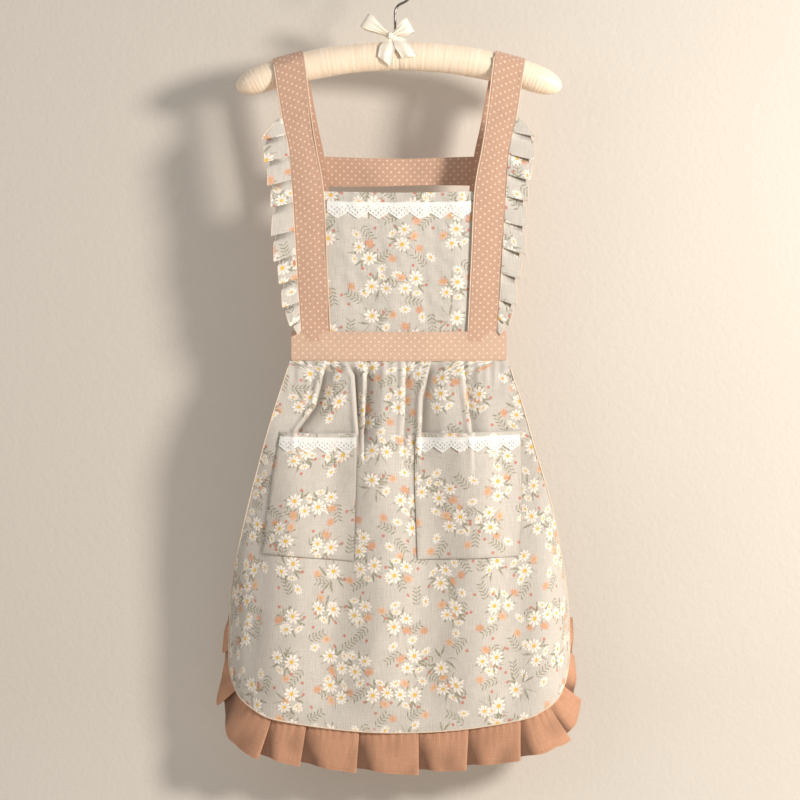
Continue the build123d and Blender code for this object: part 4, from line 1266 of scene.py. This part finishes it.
def make_hem_ruffle(choice):
    """The pleated cotton ruffle round the hem and the lower sides."""
    side = smooth_line([(unroll(np.array(x)), z) for x, z in SIDE_EDGE], 200)
    side = side[side[:, 1] < -812]
    hem = [(float(unroll(np.array(x))), z) for x, z in HEM_LINE]
    hem = smooth_line([(-x, z) for x, z in hem] + [(x, z) for x, z in hem[-2::-1]], 300)
    seam = np.vstack([np.column_stack([-side[:, 0], side[:, 1]]), hem[1:-1], side[::-1]])
    seam = smooth_line(seam[::6], 500)
    run = np.concatenate([[0], np.cumsum(np.linalg.norm(np.diff(seam, axis=0), axis=1))])
    way = np.gradient(seam, axis=0)
    way /= np.linalg.norm(way, axis=1, keepdims=True)
    outward = np.column_stack([way[:, 1], -way[:, 0]])
    bottom = seam[:, 1] < -905
    places = [float(np.sign(x) * unroll(np.array(abs(x)))) for x in HEM_BREAKS]
    marks = np.interp(places, seam[bottom, 0], run[bottom])
    breaks = [0, marks[0] - 52, *marks, marks[-1] + 34, run[-1] - 46, run[-1]]
    along, part, lift, sink = pleats(breaks, (2.6, 2.2), (0.9, choice.hem_rise / MM), 2.6, 34, (7, 12, 16, 8))
    along = np.clip(along, 0, run[-1])
    start = np.minimum(along, run[-1] - along)
    at = [np.interp(along, run, column) for column in (*seam.T, *outward.T)]
    below = np.clip(-at[3], 0, 1)
    width = (14 + 35.5 * smoothstep(0.3, 1.0, below)) * smoothstep(-30, 45, start) + sink * below**4
    reach = width * part - 3.5 * (1 - part)
    x, z = at[0] + at[2] * reach, at[1] + (at[3] - 0.3 * (1 - below)) * reach
    fine = 0.9 * np.sin(along / 1.5 + 1.5 * np.sin(along / 9)) * np.exp(-part * 5) * smoothstep(0, 0.06, part)
    fine = fine + 0.9 * part * uneven(along, reach, 30, 4)
    corner = smoothstep(125, 200, np.abs(at[0]))
    upper = smoothstep(-905, -862, at[1])
    lift = lift * (1 - 0.6 * corner * upper)
    x = x - 12 * part * smoothstep(0, 120, at[0]) * (1 - smoothstep(150, 195, at[0]))
    points = on_curl(x, z, lift + fine - 1.4 + 1.8 * part + corner * part**1.5 * (9 - 6 * upper))
    cloth = pleat_cloth(along, lift, reach)
    # Painted shade in the recessed parts of the pleats and in the dips of the fine ripples.
    painted_shade = 1.6 * np.clip(-lift / (choice.hem_rise / MM), 0, 1) * smoothstep(0.02, 0.2, part)
    painted_shade = painted_shade + np.clip(-fine, 0, 1) * 0.5
    ruffle = cloth_sheet("frilled_hem", points, 0.8, ["Hem cotton"], cloth, painted_shade)
    place_piece(ruffle, "apron", ["hem_ruffle"])
    seams = stitch_paths(points[-3] + [0, -0.4, 0], 3.6, (0, -1, 0))
    thread = cords("ruffle_hem_stitches", seams, 0.16, "Hem thread", True)
    place_piece(thread, "apron", [])


# ---------------------------------------------------------------- pockets

POCKETS = {
    "left": {"left": [(-148, -583), (-157, -640), (-164, -690), (-171, -734)],
             "right": [(-52, -584), (-53, -640), (-54.5, -690), (-56, -744)], "points": 4},
    "right": {"left": [(20.5, -584), (19.5, -640), (21, -690), (23, -742)],
              "right": [(151.5, -581), (153, -640), (153, -690), (150, -738)], "points": 6},
}


def pocket_surface(label, choice):
    """A pocket's place from shares across and down: distance along the skirt, height and lift."""
    edges = [smooth_line(POCKETS[label][key], 100) for key in ("left", "right")]
    share = np.linspace(0, 1, 100)

    def surface(across, down, lift=0.0):
        ends = [[np.interp(down, share, line[:, k]) for k in range(2)] for line in edges]
        along = ends[0][0] * (1 - across) + ends[1][0] * across
        z = ends[0][1] * (1 - across) + ends[1][1] * across
        z = z - 1.2 * np.sin(math.pi * across) * (1 - down)
        base, _ = fold_lift(along, z, choice)
        level, _ = fold_lift(along, z - 26, choice)
        full = np.sin(math.pi * np.clip(across, 0, 1)) ** 0.6 * (1 - 0.82 * down**1.5)
        ripple = 0.5 * full * uneven(along, z * 0.4, 34, 14)
        edge = smoothstep(0, 0.05, np.minimum(np.minimum(across, 1 - across), 1 - down))
        puff = full * choice.pocket / MM + ripple
        held = base + (np.maximum(level, base) - base) * full
        return on_curl(along, z, held + 1.1 + 0.35 * edge + puff + lift)

    return surface


def make_pockets(choice, lace):
    """Both patch pockets with their turned tops, edge stitching, facings and lace."""
    for label in SIDES:
        surface = pocket_surface(label, choice)
        across, down = np.meshgrid(np.linspace(0, 1, 90), np.linspace(0, 1, 100))
        points = surface(across, down)
        size = (running_length(points, 1)[0, -1], running_length(points, 0)[:, 40].max())
        shift = (173 * SIDES[label], 91 + 60 * SIDES[label])
        cloth = np.stack([running_length(points, 1) + shift[0], running_length(points, 0) + shift[1]], -1)
        near = np.minimum(np.minimum(across, 1 - across) * size[0], (1 - down) * size[1])
        # Painted shade along the pocket's sides and bottom, darkest at the very edge.
        painted_shade = 0.55 * np.exp(-near / 0.9)
        pocket = cloth_sheet(f"patch_pocket_{label}", points, 0.9, LINEN_SIDES, cloth, painted_shade)
        place_piece(pocket, "apron", [f"pocket_{label}"])
        margin = 3.0 / size[0]
        rim = [surface(np.full(80, margin), np.linspace(0.02, 0.98, 80), 0.5),
               surface(np.linspace(margin, 1 - margin, 80), np.full(80, 0.975), 0.5),
               surface(np.full(80, 1 - margin), np.linspace(0.98, 0.02, 80), 0.5)]
        seams = [path for line in rim for path in stitch_paths(line, 3.2, (0, -1, 0))]
        thread = cords(f"pocket_stitches_{label}", seams, 0.17, "Stitch thread", True)
        place_piece(thread, "apron", [])
        top = surface(np.linspace(0, 1, 90), np.zeros(90), -0.1)
        fold = cords(f"pocket_edge_{label}", [top], 0.75, "Pocket edge")
        place_piece(fold, "apron", [])

        back, low = np.meshgrid(np.linspace(0.02, 0.98, 50), np.linspace(0.01, 0.2, 10))
        facing = cloth_sheet(f"pocket_lining_{label}", surface(back, low, -1.0), 0.6, ["Linen wrong side"])
        place_piece(facing, "apron", [f"pocket_facing_{label}"])

        drop = lace.drop / MM * 0.92
        inset = 1.5

        def place(x, fall, lift, surface=surface, size=size):
            return surface(np.clip(x / size[0], 0, 1), (5.0 - fall) / size[1], 1.0 + lift)

        edging, rails = lace_edging(f"pocket_lace_edging_{label}", inset, size[0] - 2 * inset,
                                    POCKETS[label]["points"], drop, place)
        place_piece(edging, "apron", [f"pocket_lace_{label}"])
        place_piece(rails, "apron", [])


# ---------------------------------------------------------------- ties


def ribbon_grid(route, widths, columns=15, count=90):
    """An upright band along a route, gathered where it is narrow."""
    line = smooth_line(route, count)
    t = np.linspace(0, 1, count)
    width = np.interp(t, np.linspace(0, 1, len(widths)), widths)
    way = np.gradient(line, axis=0)
    way /= np.linalg.norm(way, axis=1, keepdims=True)
    side = np.cross(way, [0.0, 1.0, 0.0])
    side /= np.linalg.norm(side, axis=1, keepdims=True)
    depth = np.cross(side, way)
    c = np.linspace(-0.5, 0.5, columns)[None, :, None]
    gather = (1 - width / max(widths))[:, None] * np.cos(np.linspace(0, 5 * math.pi, columns))[None, :]
    return line[:, None] + c * (width[:, None] * side)[:, None] + gather[..., None] * depth[:, None]


def make_ties():
    """The waist ties, tied in a loose bow behind the skirt."""
    knot = (MIDDLE, 12.5, -520.0)
    foot = corners("waist_tie_left")[0][2] + 3
    for label, side in SIDES.items():
        node = [f"waist_tie_{label}"]
        at = lambda x, y, z: (MIDDLE + side * x, y, z)
        parts = {
            "band": ([at(131, -15.4, -477), at(121, -4, -479), at(92, 6.5, -489), at(52, 9.5, -504),
                      at(8, 11, -518)], [30, 30, 29, 24, 9]),
            "loop": ([at(7, 9.5, -518), at(44, 9.2, -509), at(88, 9.8, -518), at(101, 13.5, -527),
                      at(88, 17.2, -533), at(44, 16.4, -527), at(7, 14.5, -522)], [9, 27, 31, 31, 31, 26, 9]),
            "tail": ([at(7, 14.5, -526), at(19, 15.6, -580), at(29, 14.2, -650), at(33, 15.4, -720),
                      at(44, 14.0, foot)], [9, 26, 30, 30, 30]),
        }
        for part, (route, widths) in parts.items():
            points = ribbon_grid(route, widths)
            points[..., 1] += 0.7 * uneven(points[..., 0], points[..., 2], 40, 31)
            piece = cloth_sheet(f"tie_{part}_{label}", points, 0.9, ["Dotted cotton"])
            place_piece(piece, "apron", node)
            length = running_length(points, 0)[-1].mean()
    t = np.linspace(0, 1, 24)
    turn = np.linspace(0, 2 * math.pi, 36, endpoint=False)
    size = np.sqrt(np.maximum(1 - (2 * t - 1) ** 4, 0.01))
    wrap = 1 + 0.07 * np.cos(turn * 7)[None, :]
    x = knot[0] + 10.5 * size[:, None] * np.cos(turn)[None, :] * wrap
    y = knot[1] + 5.6 * size[:, None] * np.sin(turn)[None, :] * wrap
    z = np.broadcast_to(knot[2] + (0.5 - t)[:, None] * 24, x.shape)
    cloth = np.stack(np.broadcast_arrays(turn[None, :] * 9, t[:, None] * 24), -1)
    piece = skin("tie_knot", np.stack([x, y, z], -1), "Dotted cotton", cloth)
    place_piece(piece, "apron", [])


# ---------------------------------------------------------------- stage


def area_light(name, place, aim, size, power, colour, seen=True):
    """A soft area light that points at a place."""
    light = bpy.data.lights.new(name, "AREA")
    light.shape = "DISK"
    light.size = size
    light.energy = power
    light.color = colour
    holder = bpy.data.objects.new(name, light)
    holder.location = place
    way = np.array(aim) - np.array(place)
    holder.rotation_euler = Vector(way).to_track_quat("-Z", "Y").to_euler()
    holder.visible_camera = seen
    bpy.context.scene.collection.objects.link(holder)
    return holder


def make_stage(choice):
    """A pale backdrop that curves into the floor, soft light and the camera."""
    finish, tree, shader = new_finish("Backdrop", Roughness=0.95, Specular_IOR_Level=0.1,
                                      Emission_Color=solid(choice.wall), Emission_Strength=0.16)
    place = add(tree, "ShaderNodeTexCoord", output="Object")
    patches = noise(tree, place, 1.1, 3.0)
    grain = noise(tree, place, 160.0, 4.0)
    tone = calc(tree, "MULTIPLY_ADD", grain, 0.12, patches)
    dark = tuple(part * 0.93 for part in choice.wall)
    shade = mixed(tree, ramp(tree, tone, 0.35, 0.75), solid(dark), solid(choice.wall))
    tree.links.new(shade, shader["Base Color"])
    bumped(tree, shader, grain, 0.0006)
    hidden = add(tree, "ShaderNodeBsdfTransparent")
    behind = add(tree, "ShaderNodeNewGeometry", output="Backfacing")
    surface = add(tree, "ShaderNodeMixShader", [behind, tree.nodes["Principled BSDF"].outputs[0], hidden])
    tree.links.new(surface, tree.nodes["Material Output"].inputs["Surface"])

    low, high = (np.array(corner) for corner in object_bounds())
    back, floor, bend, half = high[1] + 0.05, low[2] - 0.26, 0.35, 3.2
    turn = np.linspace(0, math.pi / 2, 20)
    curve = zip(back - bend + bend * np.cos(turn), floor + bend - bend * np.sin(turn))
    profile = [(back, 2.2), *curve, (-4.5, floor)]
    points = [(x, y, z) for y, z in profile for x in (-half, half)]
    faces = [(2 * i, 2 * i + 2, 2 * i + 3, 2 * i + 1) for i in range(len(profile) - 1)]
    mesh = bpy.data.meshes.new("backdrop")
    mesh.from_pydata(points, [], faces)
    mesh.materials.append(finish)
    mesh.shade_smooth()
    sweep = bpy.data.objects.new("backdrop", mesh)
    sweep.visible_shadow = False
    bpy.context.scene.collection.objects.link(sweep)
    sweep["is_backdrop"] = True

    centre = (low + high) / 2
    area_light("key_light", (1.6, -1.3, 0.02), centre, 0.45, choice.key, (1.0, 0.955, 0.9))
    area_light("fill_light", (-1.9, -1.6, 0.1), centre, 1.8, choice.fill, (0.93, 0.96, 1.0))
    area_light("rear_light", (0.6, 1.9, 0.6), centre, 1.5, choice.fill * 1.6, (1, 0.97, 0.93), False)
    world = bpy.data.worlds.new("Room")
    world.use_nodes = True
    world.node_tree.nodes["Background"].inputs["Color"].default_value = (0.97, 0.975, 1.0, 1.0)
    world.node_tree.nodes["Background"].inputs["Strength"].default_value = choice.room
    bpy.context.scene.world = world
    bpy.context.scene.view_settings.view_transform = "Standard"

    camera = bpy.data.cameras.new("camera")
    camera.sensor_width = 36
    away, view_width = 2.4, 0.992
    camera.lens = camera.sensor_width * away / view_width
    holder = bpy.data.objects.new("camera", camera)
    holder.location = (0.0062, low[1] - away + 0.008, -0.543)
    holder.rotation_euler = (math.pi / 2, 0, 0)
    bpy.context.scene.collection.objects.link(holder)
    bpy.context.scene.camera = holder


# ---------------------------------------------------------------- operators


def build_finishes(scene):
    """The node groups and the materials that several pieces share."""
    build_woven_group()
    build_dots_group()
    build_daisy_group()
    build_leaf_group()
    build_flower_groups()
    make_linen(scene.apron_print)
    make_dotted("Dotted cotton", scene.apron_bands, scene.apron_bands.cotton)
    make_dotted("Waistband cotton", scene.apron_bands, scene.apron_bands.pale)
    make_plain("Hem cotton", scene.apron_skirt.hem)
    make_thread("Pocket edge", scene.apron_print.linen)
    make_thread("Lace thread", scene.apron_lace.lace, 0.93)
    make_thread("Piping cord", scene.apron_lace.piping)
    make_thread("Stitch thread", srgb(246, 226, 204))
    make_thread("Hem thread", srgb(176, 122, 92))


class APRON_OT_make_finishes(bpy.types.Operator):
    """Builds the cloth, lace and thread materials"""

    bl_idname = "apron.make_finishes"
    bl_label = "Finishes"
    bl_options = {"REGISTER", "UNDO"}

    def execute(self, context):
        build_finishes(context.scene)
        return {"FINISHED"}


class APRON_OT_make_hanger(bpy.types.Operator):
    """Makes the wadding and the gathered satin sleeves"""

    bl_idname = "apron.make_hanger"
    bl_label = "Padded hanger"
    bl_options = {"REGISTER", "UNDO"}

    def execute(self, context):
        make_hanger(context.scene.apron_hanger)
        return {"FINISHED"}


class APRON_OT_make_bow(bpy.types.Operator):
    """Makes the satin bow"""

    bl_idname = "apron.make_bow"
    bl_label = "Bow"
    bl_options = {"REGISTER", "UNDO"}

    def execute(self, context):
        make_bow(context.scene.apron_hanger)
        return {"FINISHED"}


class APRON_OT_make_straps(bpy.types.Operator):
    """Makes the two dotted straps with their cords"""

    bl_idname = "apron.make_straps"
    bl_label = "Straps"
    bl_options = {"REGISTER", "UNDO"}

    def execute(self, context):
        make_straps(context.scene.apron_bands)
        return {"FINISHED"}


class APRON_OT_make_back_band(bpy.types.Operator):
    """Makes the band behind the neck opening"""

    bl_idname = "apron.make_back_band"
    bl_label = "Back band"
    bl_options = {"REGISTER", "UNDO"}

    def execute(self, context):
        make_back_band(context.scene.apron_bands)
        return {"FINISHED"}


class APRON_OT_make_side_ruffles(bpy.types.Operator):
    """Makes the pleated ruffles beside the straps"""

    bl_idname = "apron.make_side_ruffles"
    bl_label = "Side ruffles"
    bl_options = {"REGISTER", "UNDO"}

    def execute(self, context):
        make_side_ruffles()
        return {"FINISHED"}


class APRON_OT_make_bib(bpy.types.Operator):
    """Makes the printed bib and its facing"""

    bl_idname = "apron.make_bib"
    bl_label = "Bib"
    bl_options = {"REGISTER", "UNDO"}

    def execute(self, context):
        make_bib()
        return {"FINISHED"}


class APRON_OT_make_bib_lace(bpy.types.Operator):
    """Makes the lace on the bib"""

    bl_idname = "apron.make_bib_lace"
    bl_label = "Bib lace"
    bl_options = {"REGISTER", "UNDO"}

    def execute(self, context):
        make_bib_lace(context.scene.apron_lace)
        return {"FINISHED"}


class APRON_OT_make_waistband(bpy.types.Operator):
    """Makes the dotted waistband and its facing"""

    bl_idname = "apron.make_waistband"
    bl_label = "Waistband"
    bl_options = {"REGISTER", "UNDO"}

    def execute(self, context):
        make_waistband(context.scene.apron_bands)
        return {"FINISHED"}


class APRON_OT_make_skirt(bpy.types.Operator):
    """Makes the gathered skirt"""

    bl_idname = "apron.make_skirt"
    bl_label = "Skirt"
    bl_options = {"REGISTER", "UNDO"}

    def execute(self, context):
        make_skirt(context.scene.apron_skirt)
        return {"FINISHED"}


class APRON_OT_make_hem_ruffle(bpy.types.Operator):
    """Makes the pleated hem ruffle"""

    bl_idname = "apron.make_hem_ruffle"
    bl_label = "Hem ruffle"
    bl_options = {"REGISTER", "UNDO"}

    def execute(self, context):
        make_hem_ruffle(context.scene.apron_skirt)
        return {"FINISHED"}


class APRON_OT_make_pockets(bpy.types.Operator):
    """Makes the patch pockets and their lace"""

    bl_idname = "apron.make_pockets"
    bl_label = "Pockets"
    bl_options = {"REGISTER", "UNDO"}

    def execute(self, context):
        make_pockets(context.scene.apron_skirt, context.scene.apron_lace)
        return {"FINISHED"}


class APRON_OT_make_ties(bpy.types.Operator):
    """Makes the ties' bow behind the skirt"""

    bl_idname = "apron.make_ties"
    bl_label = "Ties"
    bl_options = {"REGISTER", "UNDO"}

    def execute(self, context):
        make_ties()
        return {"FINISHED"}


class APRON_OT_make_stage(bpy.types.Operator):
    """Makes the backdrop, the lights and the camera"""

    bl_idname = "apron.make_stage"
    bl_label = "Stage"
    bl_options = {"REGISTER", "UNDO"}

    def execute(self, context):
        make_stage(context.scene.apron_stage)
        return {"FINISHED"}


OPERATORS = [
    APRON_OT_make_finishes,
    APRON_OT_make_hanger,
    APRON_OT_make_bow,
    APRON_OT_make_straps,
    APRON_OT_make_back_band,
    APRON_OT_make_side_ruffles,
    APRON_OT_make_bib,
    APRON_OT_make_bib_lace,
    APRON_OT_make_waistband,
    APRON_OT_make_skirt,
    APRON_OT_make_hem_ruffle,
    APRON_OT_make_pockets,
    APRON_OT_make_ties,
    APRON_OT_make_stage,
]


class APRON_PT_panel(bpy.types.Panel):
    """Lists the apron's parts and their settings."""

    bl_label = "Pinafore apron"
    bl_idname = "APRON_PT_panel"
    bl_space_type = "VIEW_3D"
    bl_region_type = "UI"
    bl_category = "Apron"

    def draw(self, context):
        for tool in OPERATORS:
            self.layout.operator(tool.bl_idname)
        for name, settings in SETTINGS.items():
            box = self.layout.box()
            box.label(text=settings.__doc__)
            for choice in settings.__annotations__:
                box.prop(getattr(context.scene, name), choice)


SETTINGS = {
    "apron_hanger": HangerSettings,
    "apron_bands": BandSettings,
    "apron_print": PrintSettings,
    "apron_lace": LaceSettings,
    "apron_skirt": SkirtSettings,
    "apron_stage": StageSettings,
}


def register():
    for settings in SETTINGS.values():
        bpy.utils.register_class(settings)
    for tool in [*OPERATORS, APRON_PT_panel]:
        bpy.utils.register_class(tool)
    for name, settings in SETTINGS.items():
        setattr(bpy.types.Scene, name, PointerProperty(type=settings))


def unregister():
    for name in SETTINGS:
        delattr(bpy.types.Scene, name)
    for tool in [APRON_PT_panel, *OPERATORS, *SETTINGS.values()]:
        bpy.utils.unregister_class(tool)


def main():
    """Registers the add-on and makes every piece."""
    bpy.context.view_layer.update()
    register()
    bpy.ops.apron.make_finishes()
    bpy.ops.apron.make_hanger()
    bpy.ops.apron.make_bow()
    bpy.ops.apron.make_straps()
    bpy.ops.apron.make_back_band()
    bpy.ops.apron.make_side_ruffles()
    bpy.ops.apron.make_bib()
    bpy.ops.apron.make_bib_lace()
    bpy.ops.apron.make_waistband()
    bpy.ops.apron.make_skirt()
    bpy.ops.apron.make_hem_ruffle()
    bpy.ops.apron.make_pockets()
    bpy.ops.apron.make_ties()
    bpy.ops.apron.make_stage()


if __name__ == "__main__":
    main()
